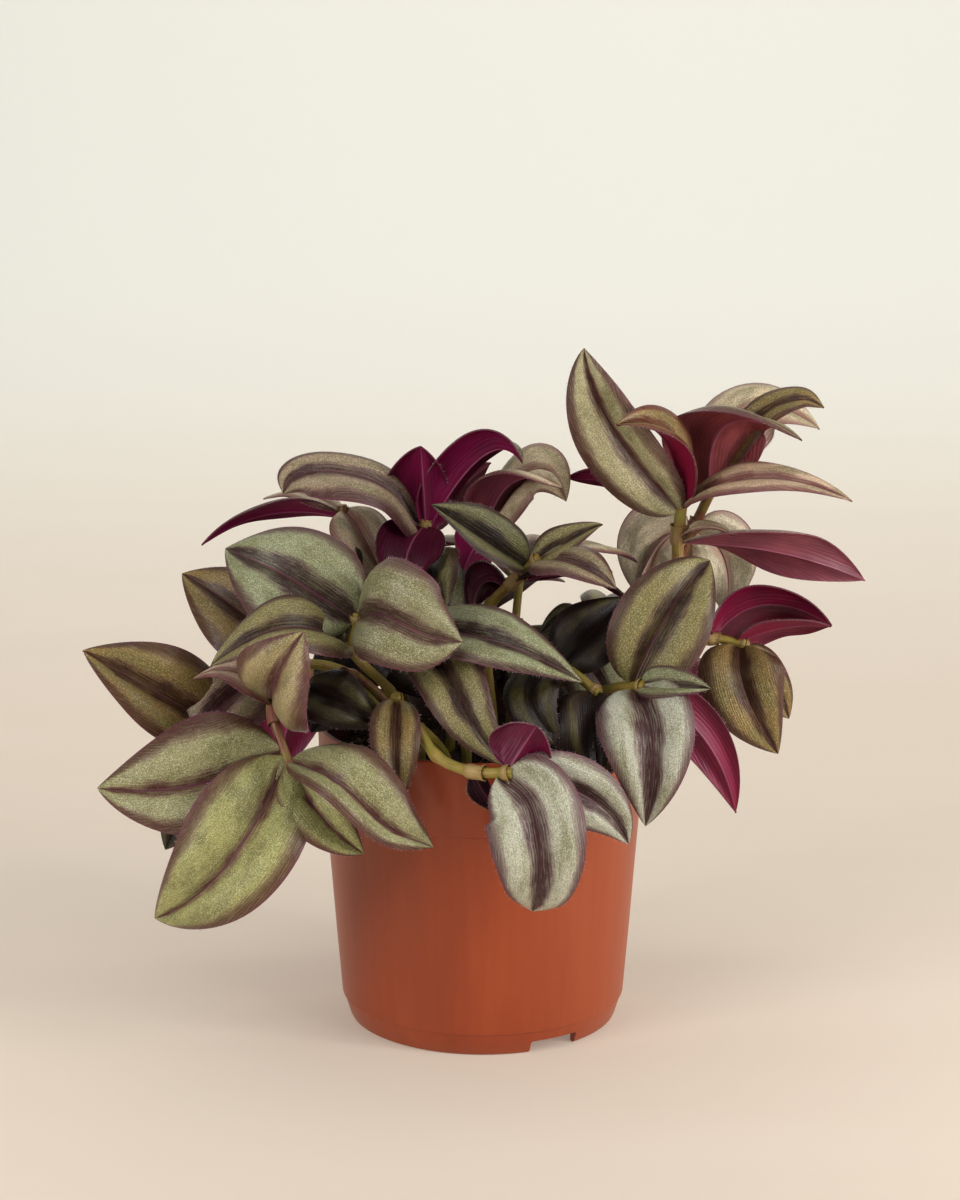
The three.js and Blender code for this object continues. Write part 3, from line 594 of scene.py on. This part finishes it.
def stalk_route(root, joints, radius):
    """The stalk's centre line as in the frame: straight up from the root, then through the joints."""
    knots = [Vector((*root, SOIL_TOP + rise)) for rise in (-ROOT_DEPTH, 0, ROOT_DEPTH * 0.7)]
    knots += [Vector(joint) for joint in joints]
    knots.append(knots[-1] + (knots[-1] - knots[-2]).normalized() * radius)
    return smooth_line(knots)


def share_of_joint(route, joint):
    return (joint + ROOT_KNOTS) / route[2]


def laid_grid(across_steps, along_steps, place_point):
    """A sheet of faces: a grid is added, and each of its points is laid where place_point says."""
    let_go()
    bpy.ops.mesh.primitive_grid_add(x_subdivisions=across_steps, y_subdivisions=along_steps, size=1)
    sheet = bpy.context.object
    mesh = sheet.data
    layers = {}
    for vertex in mesh.vertices:
        point, values = place_point(vertex.co.x + 0.5, vertex.co.y + 0.5)
        for key, value in values.items():
            layers.setdefault(key, []).extend(value)
        vertex.co = point * MM
    for key, values in layers.items():
        kind, field = ("FLOAT_COLOR", "color")
        if len(values) == 3 * len(mesh.vertices):
            kind, field = ("FLOAT_VECTOR", "vector")
        mesh.attributes.new(key, kind, "POINT").data.foreach_set(field, values)
    return sheet


def joined(pieces):
    let_go()
    for piece in pieces:
        piece.select_set(True)
    bpy.context.view_layer.objects.active = pieces[0]
    bpy.ops.object.join()
    return bpy.context.object


def spoke(direction, turn):
    """The way out from a line that goes in a direction, at a turn round it."""
    sideways = direction.cross(Vector((0.31, 0.95, 0.02))).normalized()
    other = direction.cross(sideways).normalized()
    return sideways * math.cos(turn) + other * math.sin(turn)


def stalk_tube(route, radius, blush, joint_count):
    at, along, spans = route
    length = [0.0]
    rings = STALK_RINGS_PER_JOINT * spans
    for ring in range(rings):
        length.append(length[-1] + (at((ring + 1) / rings) - at(ring / rings)).length)
    joints_at = [at(share_of_joint(route, joint)) for joint in range(joint_count)]

    def place_point(around, share):
        turn = 2 * math.pi * around
        middle = at(share)
        swell = sum(math.exp(-((middle - joint).length / SWELLING_REACH) ** 2) for joint in joints_at)
        reach = radius * (STALK_FOOT - STALK_TAPER * share) * STALK_GIRTH + JOINT_SWELLING * swell
        reach *= 1 + STALK_RIBBING * math.sin(5 * turn + 9 * share)
        return middle + spoke(along(share), turn) * reach, {
            "place": (around, length[round(share * rings)], blush)}

    tube = laid_grid(STALK_SIDES, rings, place_point)
    close_up(tube)
    return tube


def stalk_sheath(route, radius, blush, joint):
    """A thin sleeve that starts below its joint, swells over it and opens a little at the lip."""
    at, along, spans = route
    start = share_of_joint(route, joint)
    share_of_mm = 1 / (spans * max((at(start) - at(share_of_joint(route, joint - 1))).length, 1))

    def place_point(around, share):
        turn = 2 * math.pi * around
        lift, swell = SHEATH_PROFILE[round(share * (len(SHEATH_PROFILE) - 1))]
        spot = start + lift * share_of_mm
        middle = at(spot) if spot <= 1 else at(1) + along(1) * (spot - 1) / share_of_mm
        lip = SHEATH_LIP * math.sin(2 * turn + joint) * share ** 3
        reach = radius * SHEATH_GIRTH + swell + SHEATH_RIBBING * math.sin(3 * turn) * share
        return middle + spoke(along(spot), turn) * reach + along(spot) * lip, {
            "place": (around, lift + SHEATH_PATTERN_SHIFT, blush)}

    sheath = laid_grid(STALK_SIDES, len(SHEATH_PROFILE) - 1, place_point)
    close_up(sheath, fill_ends=False)
    apply_modifier(sheath, "SOLIDIFY", thickness=SHEATH_WALL * MM, offset=-1)
    return sheath


def streak_group():
    """Fine lines and broken streaks that run lengthwise, on a Span of millimetres across and along."""
    group = bpy.data.node_groups.new("lengthwise_streaks", "ShaderNodeTree")
    for name, way, kind in (("Span", "INPUT", "Vector"), ("Lines per mm", "INPUT", "Float"),
                            ("Lines", "OUTPUT", "Float"), ("Streaks", "OUTPUT", "Float")):
        group.interface.new_socket(name, in_out=way, socket_type="NodeSocket" + kind)
    given = group.nodes.new("NodeGroupInput").outputs
    wobble = grain(group, stretched(group, given["Span"], 0.5, 0.08, 1), 1.0, 2)
    drift = math_node(group, "MULTIPLY_ADD", wobble, 1.5, parts_of(group, given["Span"])[0])
    turn = times(group, times(group, drift, given["Lines per mm"]), 2 * math.pi)
    lines = math_node(group, "MULTIPLY_ADD", math_node(group, "SINE", turn), 0.5, 0.5)
    streaks = grain(group, stretched(group, given["Span"], 1.9, 0.16, 1), 1.0, 4, 0.6)
    out = group.nodes.new("NodeGroupOutput")
    group.links.new(lines, out.inputs["Lines"])
    group.links.new(streaks, out.inputs["Streaks"])
    return group


streak_nodes = streak_group()


def lengthwise_streaks(tree, span, lines_per_mm):
    wires = {"Span": span, "Lines per mm": lines_per_mm}
    return add_node(tree, "ShaderNodeGroup", wires, node_tree=streak_nodes).outputs


def stored(tree, name, kind="Vector"):
    """What laid_grid kept at each point under a name."""
    return add_node(tree, "ShaderNodeAttribute", attribute_name=name).outputs[kind]


def stalk_material(name, fresh, ripe, dash, sheen, veil):
    material, tree, surface = new_material(
        name, Specular_IOR_Level=0.45, Subsurface_Weight=0.12, Subsurface_Scale=0.0015,
        Subsurface_Radius=(1.0, 0.7, 0.4))
    around, along, blush = parts_of(tree, stored(tree, "place"))
    wires = {0: times(tree, around, 12.0), 1: along, 2: blush}
    span = add_node(tree, "ShaderNodeCombineXYZ", wires).outputs[0]
    lines, streaks = lengthwise_streaks(tree, span, 1.0)
    patches = grain(tree, stretched(tree, span, 0.12, 0.13, 1), 1.0, 3)
    flush = times(tree, blush, ease(tree, patches, 0.25, 0.6))
    tone = layered(
        tree, paint(*fresh),
        (ease(tree, patches, 0.35, 0.7), paint(*ripe)),
        (times(tree, flush, 0.75), paint(*dash)),
        (times(tree, ease(tree, streaks, 0.56, 0.68), veil), paint(*dash)),
        (times(tree, lines, 0.18), paint(*ripe)))
    dress(tree, surface, tone, ease(tree, streaks, 0.3, 0.7, sheen, sheen + 0.12), lines)
    return material


stalk_skin = stalk_material("stalk_skin", (142, 138, 58), (168, 150, 74), (128, 44, 70), 0.34, 0.9)
sheath_skin = stalk_material("sheath_skin", (156, 138, 84), (184, 160, 108), (124, 44, 66), 0.4, 0.8)

for stem_name, radius, root, joints, leaves in LEAFY_STEMS:
    route = stalk_route(root, joints, radius)
    blush = BLUSH.get(stem_name, PLAIN_BLUSH)
    tube = stalk_tube(route, radius, blush, len(joints))
    tube.data.materials.append(stalk_skin)
    leafy_joints = sorted({row[0] for row in leaves})
    sheaths = [stalk_sheath(route, radius, blush, joint) for joint in leafy_joints]
    for sheath in sheaths:
        sheath.data.materials.append(sheath_skin)
    stalk = joined([tube, *sheaths])
    settle(stalk, "stalk_" + stem_name, SHARP_STALK_EDGE)
    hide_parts("stem_" + stem_name)
    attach(stalk, "root")


# The leaves: thin, slightly fleshy blades folded along the midrib, silver green with a dark band down
# the middle and dark margins above, magenta purple below. Each grows from a sheath on its stalk.
ACROSS_STEPS = 14
ALONG_STEPS = 34
BLADE = 0.5
BULGE = 0.16
MARGIN_DROOP = 0.1
MARGIN_WAVE = 0.07
INNER_WAVE = 0.025
LEAF_BASE_WIDTH = 2.6
LEAF_TIP_WIDTH = 0.12
LEAF_SPACING = 1.6
TAPER = 0.88
WIDEST = 0.407
FACE_STEPS = 40
LENGTH_STEPS = 20
SHARP_LEAF_EDGE = 50

# A look: the colours of the silver, the bands and the underside, and the shares of the half width at
# which the middle band ends and the margin's band starts.
LOOKS = {
    "meadow": ((160, 158, 98), (80, 42, 26), (112, 18, 56), (0.08, 0.76)),
    "field": ((150, 146, 102), (80, 40, 30), (112, 18, 56), (0.1, 0.68)),
    "silver": ((180, 180, 164), (70, 36, 36), (116, 14, 64), (0.28, 0.82)),
    "grey": ((144, 148, 112), (56, 32, 27), (108, 12, 56), (0.27, 0.8)),
    "slate": ((154, 134, 108), (66, 34, 32), (124, 3, 70), (0.28, 0.74)),
    "bronze": ((136, 112, 56), (62, 32, 14), (104, 18, 48), (0.24, 0.72)),
    "shade": ((70, 64, 34), (26, 14, 6), (84, 4, 42), (0.32, 0.7)),
    # deep: near black, partly the leaves' own dark colour and partly painted shade for leaves inside the
    # plant
    "deep": ((46, 32, 16), (18, 8, 4), (50, 6, 24), (0.35, 0.7)),
    "moss": ((132, 122, 72), (50, 30, 17), (108, 12, 52), (0.26, 0.76)),
    "pale": ((206, 188, 156), (148, 108, 90), (136, 70, 82), (0.22, 0.84)),
    "brown": ((56, 40, 24), (28, 15, 9), (88, 6, 46), (0.4, 0.6)),
    # backlit: near white, painted light for leaves lit from behind, as bright as the light through them
    "backlit": ((248, 238, 210), (224, 194, 178), (240, 214, 192), (0.14, 0.9)),
    "hazel": ((156, 144, 102), (88, 50, 40), (158, 80, 84), (0.24, 0.74)),
    "rust": ((150, 122, 70), (104, 48, 28), (140, 14, 60), (0.3, 0.62)),
    "dusk": ((166, 148, 106), (88, 50, 42), (124, 24, 64), (0.12, 0.7)),
    "tall": ((170, 162, 124), (80, 44, 32), (118, 20, 62), (0.15, 0.66)),
    "front": ((186, 186, 168), (76, 44, 46), (116, 14, 64), (0.24, 0.8)),
    "wine": ((150, 128, 104), (66, 34, 32), (132, 12, 62), (0.28, 0.74)),
    "glade": ((98, 96, 60), (28, 14, 8), (100, 8, 50), (0.32, 0.78)),
    "soft": ((150, 146, 112), (74, 46, 38), (110, 16, 58), (0.2, 0.82)),
    "rose": ((208, 180, 152), (130, 82, 76), (142, 40, 70), (0.24, 0.78)),
}


def leaf_foot(route, radius, joints, leaves, row):
    """Where a leaf leaves its stalk: the leaves of one joint sit close below each other."""
    crowd = [other for other in leaves if other[0] == row[0]]
    place = [other is row for other in crowd].index(True) - (len(crowd) - 1)
    joint = Vector(joints[row[0]])
    outwards = (Vector(row[1]) - joint).normalized()
    up_the_stalk = route[1](share_of_joint(route, row[0]))
    return joint + up_the_stalk * place * LEAF_SPACING + outwards * radius / 2


def leaf_rib(foot, tip, face, arch):
    """The midrib: where it is, and which way it goes, at each share of it."""
    if isinstance(arch, tuple) and isinstance(arch[0], tuple):
        rib, heading, _ = smooth_line([foot, *(Vector(point) for point in arch), tip])
        return rib, heading
    middle = foot.lerp(tip, 0.5)
    if isinstance(arch, tuple):
        through = Vector(arch)
    else:
        chord = tip - foot
        outwards = (face - chord * face.dot(chord) / chord.length_squared).normalized()
        through = middle + outwards * arch * chord.length
    control = 2 * through - middle

    def rib(u):
        return foot * (1 - u) ** 2 + control * 2 * u * (1 - u) + tip * u ** 2

    def heading(u):
        return ((control - foot) * (1 - u) + (tip - control) * u).normalized()

    return rib, heading


def faces_along(face, heading):
    """The way that the upper face looks at each step of the midrib, carried out from its middle."""
    def levelled(way, u):
        ahead = heading(u)
        return (way - ahead * way.dot(ahead)).normalized()

    half = FACE_STEPS // 2
    ways = {half: levelled(face, 0.5)}
    for step in range(half + 1, FACE_STEPS + 1):
        ways[step] = levelled(ways[step - 1], step / FACE_STEPS)
    for step in range(half - 1, -1, -1):
        ways[step] = levelled(ways[step + 1], step / FACE_STEPS)
    return ways


def leaf_surface(foot, row):
    """The leaf's upper face: a function of how far across (-1 to 1) and along (0 to 1) a point is."""
    _, tip, face, width, arch, fold, twist, lean, _ = row
    tip, face = Vector(tip), Vector(face)
    rib, heading = leaf_rib(foot, tip, face, arch)
    ways = faces_along(face, heading)
    spots = [rib(step / LENGTH_STEPS) for step in range(LENGTH_STEPS + 1)]
    length = sum((spots[step + 1] - spots[step]).length for step in range(LENGTH_STEPS))
    phase = (tip.x * 0.37 + tip.z * 0.61) % NEARLY_A_TURN
    rise_of_fold, run_of_fold = math.sin(math.radians(fold)), math.cos(math.radians(fold))

    def reach_at(u):
        least = LEAF_BASE_WIDTH / 2 * (1 - u) ** 2
        full = width / 2 * math.sqrt(u) * max(1 - u, 0) ** TAPER / WIDEST
        return max(full, least, LEAF_TIP_WIDTH / 2)

    def surface(across, u):
        step = min(max(u, 0.0), 1.0) * FACE_STEPS
        low = min(int(step), FACE_STEPS - 1)
        way = ways[low].lerp(ways[low + 1], step - low).normalized()
        ahead = heading(u)
        turned = Matrix.Rotation(math.radians(twist * (u - 0.5)), 3, ahead) @ way
        side = ahead.cross(turned).normalized()
        reach = reach_at(u) * (1 + lean * math.copysign(1, across))
        a = abs(across)
        wave = MARGIN_WAVE * a * a * math.sin(9 * u + phase + (1.7 if across > 0 else 0.0))
        wave += INNER_WAVE * math.sin(3.1 * a * math.pi) * math.sin(6 * u + 2 * phase)
        rise = a * rise_of_fold + BULGE * 4 * a * (1 - a) - MARGIN_DROOP * a ** 4 + wave
        point = rib(u) + side * (across * reach * run_of_fold) + turned * (reach * rise + BLADE / 2)
        return point, turned, side, reach

    return surface, length


def leaf_blade(surface, length, number, look):
    *tones, marks = LOOKS[look]
    silver, band, under = (paint(*tone) for tone in tones)

    def place_point(across_share, along_share):
        across = 2 * across_share - 1
        # the rows stand closer together towards the base and the tip
        u = 0.6 * along_share + 0.4 * (0.5 - 0.5 * math.cos(math.pi * along_share))
        point, _, _, reach = surface(across, u)
        return point, {
            "place": (across, u, number * 0.137 % 1),
            "span": (across * reach, u * length, number * 7.3),
            "silver": silver, "band": band, "under": under, "marks": (*marks, 0),
        }

    return laid_grid(ACROSS_STEPS, ALONG_STEPS, place_point)


def upper_skin_material():
    material, tree, surface = new_material(
        "leaf_upper_skin", Specular_IOR_Level=0.42, Coat_Weight=0.06, Coat_Roughness=0.22)
    silver_tone, band_tone = stored(tree, "silver", "Color"), stored(tree, "band", "Color")
    span = stored(tree, "span")
    band_ends, margin_starts, _ = parts_of(tree, stored(tree, "marks"))
    off_rib = math_node(tree, "ABSOLUTE", parts_of(tree, stored(tree, "place"))[0])
    lines, streaks = lengthwise_streaks(tree, span, 1.1)
    drift = grain(tree, stretched(tree, span, 0.07, 0.09, 1), 1.0, 2)
    clouds = grain(tree, stretched(tree, span, 0.16, 0.07, 1), 1.0, 3)
    # Painted glints: the skin's small cells are painted lighter or darker, on pale leaves a few near
    # white.
    wires = {"Vector": stretched(tree, span, 5.4, 4.2, 1), "Scale": 1.0}
    cells = add_node(tree, "ShaderNodeTexVoronoi", wires).outputs["Color"]
    glint = add_node(tree, "ShaderNodeSeparateColor", {0: cells}).outputs[0]
    painted_glitter = ease(tree, glint, 0.0, 1.0, 0.66, 1.26)
    painted_glitter = add_node(tree, "ShaderNodeCombineColor", {0: painted_glitter, 1: painted_glitter, 2: painted_glitter}).outputs[0]

    ragged = math_node(tree, "MULTIPLY_ADD", math_node(tree, "SUBTRACT", streaks, 0.5), 0.26, off_rib)
    ragged = math_node(tree, "MULTIPLY_ADD", math_node(tree, "SUBTRACT", drift, 0.5), 0.28, ragged)
    middle_band = ease(tree, math_node(tree, "SUBTRACT", ragged, band_ends), 0.1, -0.09)
    margin = ease(tree, math_node(tree, "SUBTRACT", ragged, margin_starts), -0.1, 0.12)
    dark = math_node(tree, "MAXIMUM", middle_band, times(tree, margin, 0.94))
    light = math_node(tree, "SUBTRACT", 1.0, dark)
    green_of_silver = add_node(tree, "ShaderNodeSeparateColor", {0: silver_tone}).outputs[1]
    paleness = ease(tree, green_of_silver, 0.02, 0.26, 0.12, 1.0)

    def on_pale(share):
        """What shows fully on a pale leaf and hardly on a dark one."""
        return times(tree, share, paleness)

    silver = layered(
        tree, silver_tone,
        (ease(tree, clouds, 0.44, 0.66, 0.0, 0.55), paint(106, 102, 48)),
        (on_pale(times(tree, lines, 0.08)), paint(206, 206, 190)),
        # painted glints: cells lightened or darkened, and a few painted near white
        (1.0, painted_glitter, "MULTIPLY"),
        (on_pale(ease(tree, glint, 0.72, 0.95, 0.0, 0.4)), paint(232, 228, 204)),
        (ease(tree, streaks, 0.54, 0.74, 0.0, 0.35), paint(100, 72, 54)))
    band = layered(
        tree, band_tone,
        (ease(tree, streaks, 0.5, 0.7, 0.0, 0.4), silver_tone),
        (times(tree, lines, ease(tree, drift, 0.4, 0.6, 0.03, 0.32)), silver_tone),
        # painted glints on the dark band
        (on_pale(ease(tree, glint, 0.78, 0.97, 0.0, 0.4)), paint(168, 148, 146)),
        (on_pale(ease(tree, off_rib, 0.72, 1.0, 0.0, 0.4)), paint(100, 52, 62)))
    edge_of_band = on_pale(math_node(tree, "MULTIPLY", times(tree, light, dark), 2.2, clamp=True))
    tone = layered(
        tree, band,
        (light, silver),
        (times(tree, edge_of_band, 0.4), paint(124, 80, 88)),
        (on_pale(ease(tree, off_rib, 0.035, 0.012, 0.0, 0.75)), paint(124, 78, 92)),
        (on_pale(ease(tree, off_rib, 0.955, 0.985, 0.0, 0.7)), paint(118, 66, 84)))
    bumps = math_node(tree, "MULTIPLY_ADD", glint, 0.4, times(tree, lines, 0.6))
    bumps = math_node(tree, "MULTIPLY_ADD", streaks, 2.4, bumps)
    dress(tree, surface, tone, ease(tree, glint, 0.0, 1.0, 0.44, 0.26), bumps, strength=0.6, depth=0.14)
    return material


def under_skin_material():
    material, tree, surface = new_material(
        "leaf_under_skin", Specular_IOR_Level=0.4, Coat_Weight=0.05, Coat_Roughness=0.25)
    span = stored(tree, "span")
    off_rib = math_node(tree, "ABSOLUTE", parts_of(tree, stored(tree, "place"))[0])
    lines, streaks = lengthwise_streaks(tree, span, 0.8)
    clouds = grain(tree, stretched(tree, span, 0.14, 0.06, 1), 1.0, 3)
    tone = layered(
        tree, stored(tree, "under", "Color"),
        (ease(tree, clouds, 0.35, 0.7, 0.0, 0.45), paint(72, 22, 44)),
        (ease(tree, streaks, 0.5, 0.78, 0.0, 0.24), paint(150, 62, 104)),
        (times(tree, lines, 0.1), paint(60, 10, 34)),
        (ease(tree, off_rib, 0.04, 0.015, 0.0, 0.6), paint(164, 96, 124)))
    dress(tree, surface, tone, ease(tree, streaks, 0.3, 0.7, 0.36, 0.5), lines, strength=0.6)
    return material


upper_skin = upper_skin_material()
under_skin = under_skin_material()
leaf_surfaces = {}
leaf_number = 0
for stem_name, radius, root, joints, leaves in LEAFY_STEMS:
    route = stalk_route(root, joints, radius)
    blades = []
    leaf_surfaces[stem_name] = []
    for row in leaves:
        leaf_number += 1
        surface, length = leaf_surface(leaf_foot(route, radius, joints, leaves, row), row)
        leaf_surfaces[stem_name].append((surface, length))
        blades.append(leaf_blade(surface, length, leaf_number, row[-1]))
    foliage = joined(blades)
    foliage.data.materials.append(upper_skin)
    foliage.data.materials.append(under_skin)
    apply_modifier(foliage, "SOLIDIFY", thickness=BLADE * MM, offset=-1, material_offset=1)
    settle(foliage, "leaves_" + stem_name, SHARP_LEAF_EDGE)
    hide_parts("stem_" + stem_name)
    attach(foliage, "root")


# The hairs: a fine pale fringe that stands along the leaf margins, each hair about a millimetre long
# and thinner than a thread. Made as slim three-sided spikes.
HAIRS_PER_MM = 1.1
HAIR_RADIUS = 0.035
HAIR_LENGTHS = (0.5, 1.35)
HAIRY_PART = (0.03, 0.97)
THIRD_OF_A_TURN = 2.094
HAIR_FACES = [(0, 1, 3), (1, 2, 3), (2, 0, 3), (0, 2, 1)]

hair_coat, tree, surface = new_material("hair_coat", Specular_IOR_Level=0.4)
pallor = grain(tree, object_place(tree), 400.0, 2)
down = layered(tree, paint(228, 214, 214), (pallor, paint(206, 184, 190)))
dress(tree, surface, down, ease(tree, pallor, 0.3, 0.7, 0.45, 0.6))


def hair_on(surface_at, side_sign):
    """One hair at a random place of a leaf's margin: the three points of its foot, and its tip."""
    point, out, side, _ = surface_at(side_sign, chance.uniform(*HAIRY_PART))
    way = side * side_sign * chance.uniform(0.5, 1) + out * chance.uniform(-0.1, 0.9)
    way = (way - side.cross(out) * chance.uniform(-0.2, 0.5)).normalized()
    length = chance.uniform(*HAIR_LENGTHS)
    base = point - out * BLADE * 0.4 - side * side_sign * 0.05
    foot = [base + spoke(way, THIRD_OF_A_TURN * corner) * HAIR_RADIUS for corner in range(3)]
    return [*foot, base + way * length]


chance = random.Random(97)
for stem_name, surfaces in leaf_surfaces.items():
    fringe = [hair_on(surface_at, side_sign) for surface_at, length in surfaces
              for side_sign in (-1, 1) for _ in range(int(length * HAIRS_PER_MM))]
    hairs = loose_piece("hairs_" + stem_name, fringe, HAIR_FACES, hair_coat)
    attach(hairs, "root")


# The studio: a plain pale paper sweep, floor and backdrop in one, which glows a little so that its
# shadows stay soft. A broad soft light stands to the right and a weaker one to the left, a low narrow
# strip on each side of the pot, and two lights above, over the plant and over the backdrop.
SWEEP_RADIUS = 0.9
SWEEP_STEPS = 24
SWEEP_WALL = 3
ABOVE_POT = (0, 0, 0.12)
POT_MIDDLE = (0, 0, 0.06)
WARM_WHITE = (1.0, 0.985, 0.955)
WHITE = (1.0, 0.99, 0.975)
COOL_WHITE = (1.0, 0.99, 0.97)
CAMERA_DIP = 0.218

let_go()
bpy.ops.mesh.primitive_plane_add(size=1, location=(0, 0.2, 0))
sweep = bpy.context.object
sweep.name = "paper_sweep"
sweep.scale = (6, 2.6, 1)
bpy.ops.object.transform_apply(location=True, rotation=True, scale=True)
bpy.ops.object.mode_set(mode="EDIT")
bpy.ops.mesh.select_all(action="DESELECT")
bpy.ops.object.mode_set(mode="OBJECT")
for edge in sweep.data.edges:
    edge.select = all(sweep.data.vertices[v].co.y > 1 for v in edge.vertices)
bpy.ops.object.mode_set(mode="EDIT")
bpy.ops.mesh.select_mode(type="EDGE")
for step in range(SWEEP_STEPS):
    last, turn = (math.radians(90 * number / SWEEP_STEPS) for number in (step, step + 1))
    back = SWEEP_RADIUS * (math.sin(turn) - math.sin(last))
    up = SWEEP_RADIUS * (math.cos(last) - math.cos(turn))
    bpy.ops.mesh.extrude_edges_move(TRANSFORM_OT_translate={"value": (0, back, up)})
bpy.ops.mesh.extrude_edges_move(TRANSFORM_OT_translate={"value": (0, 0, SWEEP_WALL)})
bpy.ops.object.mode_set(mode="OBJECT")
bpy.ops.object.shade_smooth()
paper, tree, surface = new_material(
    "paper", Roughness=0.8, Specular_IOR_Level=0.2, Emission_Strength=0.55)
where = object_place(tree)
mottle = grain(tree, stretched(tree, where, 1.5, 6, 6), 2.0, 4)
near_tone = layered(tree, paint(192, 182, 170), (mottle, paint(188, 177, 164)))
# Painted light: the paper is painted whiter and cooler towards the backdrop, where it is more brightly
# lit.
far = ease(tree, parts_of(tree, where)[1], 0.3, 2.0)
tone = layered(tree, near_tone, (far, paint(203, 202, 195)))
tree.links.new(tone, surface.inputs["Base Color"])
tree.links.new(tone, surface.inputs["Emission Color"])
sweep.data.materials.append(paper)


def soft_light(name, place, aim, size, power, colour):
    light = bpy.data.lights.new(name, "AREA")
    light.shape = "RECTANGLE"
    light.size, light.size_y = size
    light.energy = power
    light.color = colour
    lamp = put_in_scene(name, light)
    lamp.location = place
    lamp.rotation_euler = (Vector(aim) - Vector(place)).to_track_quat("-Z", "Y").to_euler()


soft_light("key_light", (1.15, -0.9, 1.0), ABOVE_POT, (0.8, 1.1), 14, WARM_WHITE)
soft_light("fill_light", (-1.0, -1.2, 0.9), ABOVE_POT, (0.9, 1.2), 9.6, COOL_WHITE)
soft_light("right_strip", (0.55, -0.26, 0.16), POT_MIDDLE, (0.06, 0.3), 1.3, WARM_WHITE)
soft_light("left_strip", (-0.5, -0.36, 0.16), POT_MIDDLE, (0.06, 0.3), 0.8, COOL_WHITE)
soft_light("top_light", (0.1, -0.1, 1.9), (0, 0.1, 0), (2.2, 2.0), 8, WHITE)
soft_light("backdrop_light", (0.3, 0.6, 1.8), (0, 2.2, 1.0), (2.6, 0.6), 24, WHITE)
world = bpy.data.worlds.new("studio_air")
bpy.context.scene.world = world
world.use_nodes = True
world.node_tree.nodes["Background"].inputs[0].default_value = (1.0, 0.985, 0.96, 1)
world.node_tree.nodes["Background"].inputs[1].default_value = 0.2
bpy.context.scene.view_settings.view_transform = "Standard"
bpy.context.scene.view_settings.gamma = 0.85

camera_data = bpy.data.cameras.new("camera")
camera_data.lens = 85
camera_data.sensor_fit = "VERTICAL"
camera_data.sensor_height = 36
camera = put_in_scene("camera", camera_data)
camera.location = (-0.001, -1.0, 0.377)
camera.rotation_euler = (math.radians(90) - CAMERA_DIP, 0, 0)
bpy.context.scene.camera = camera
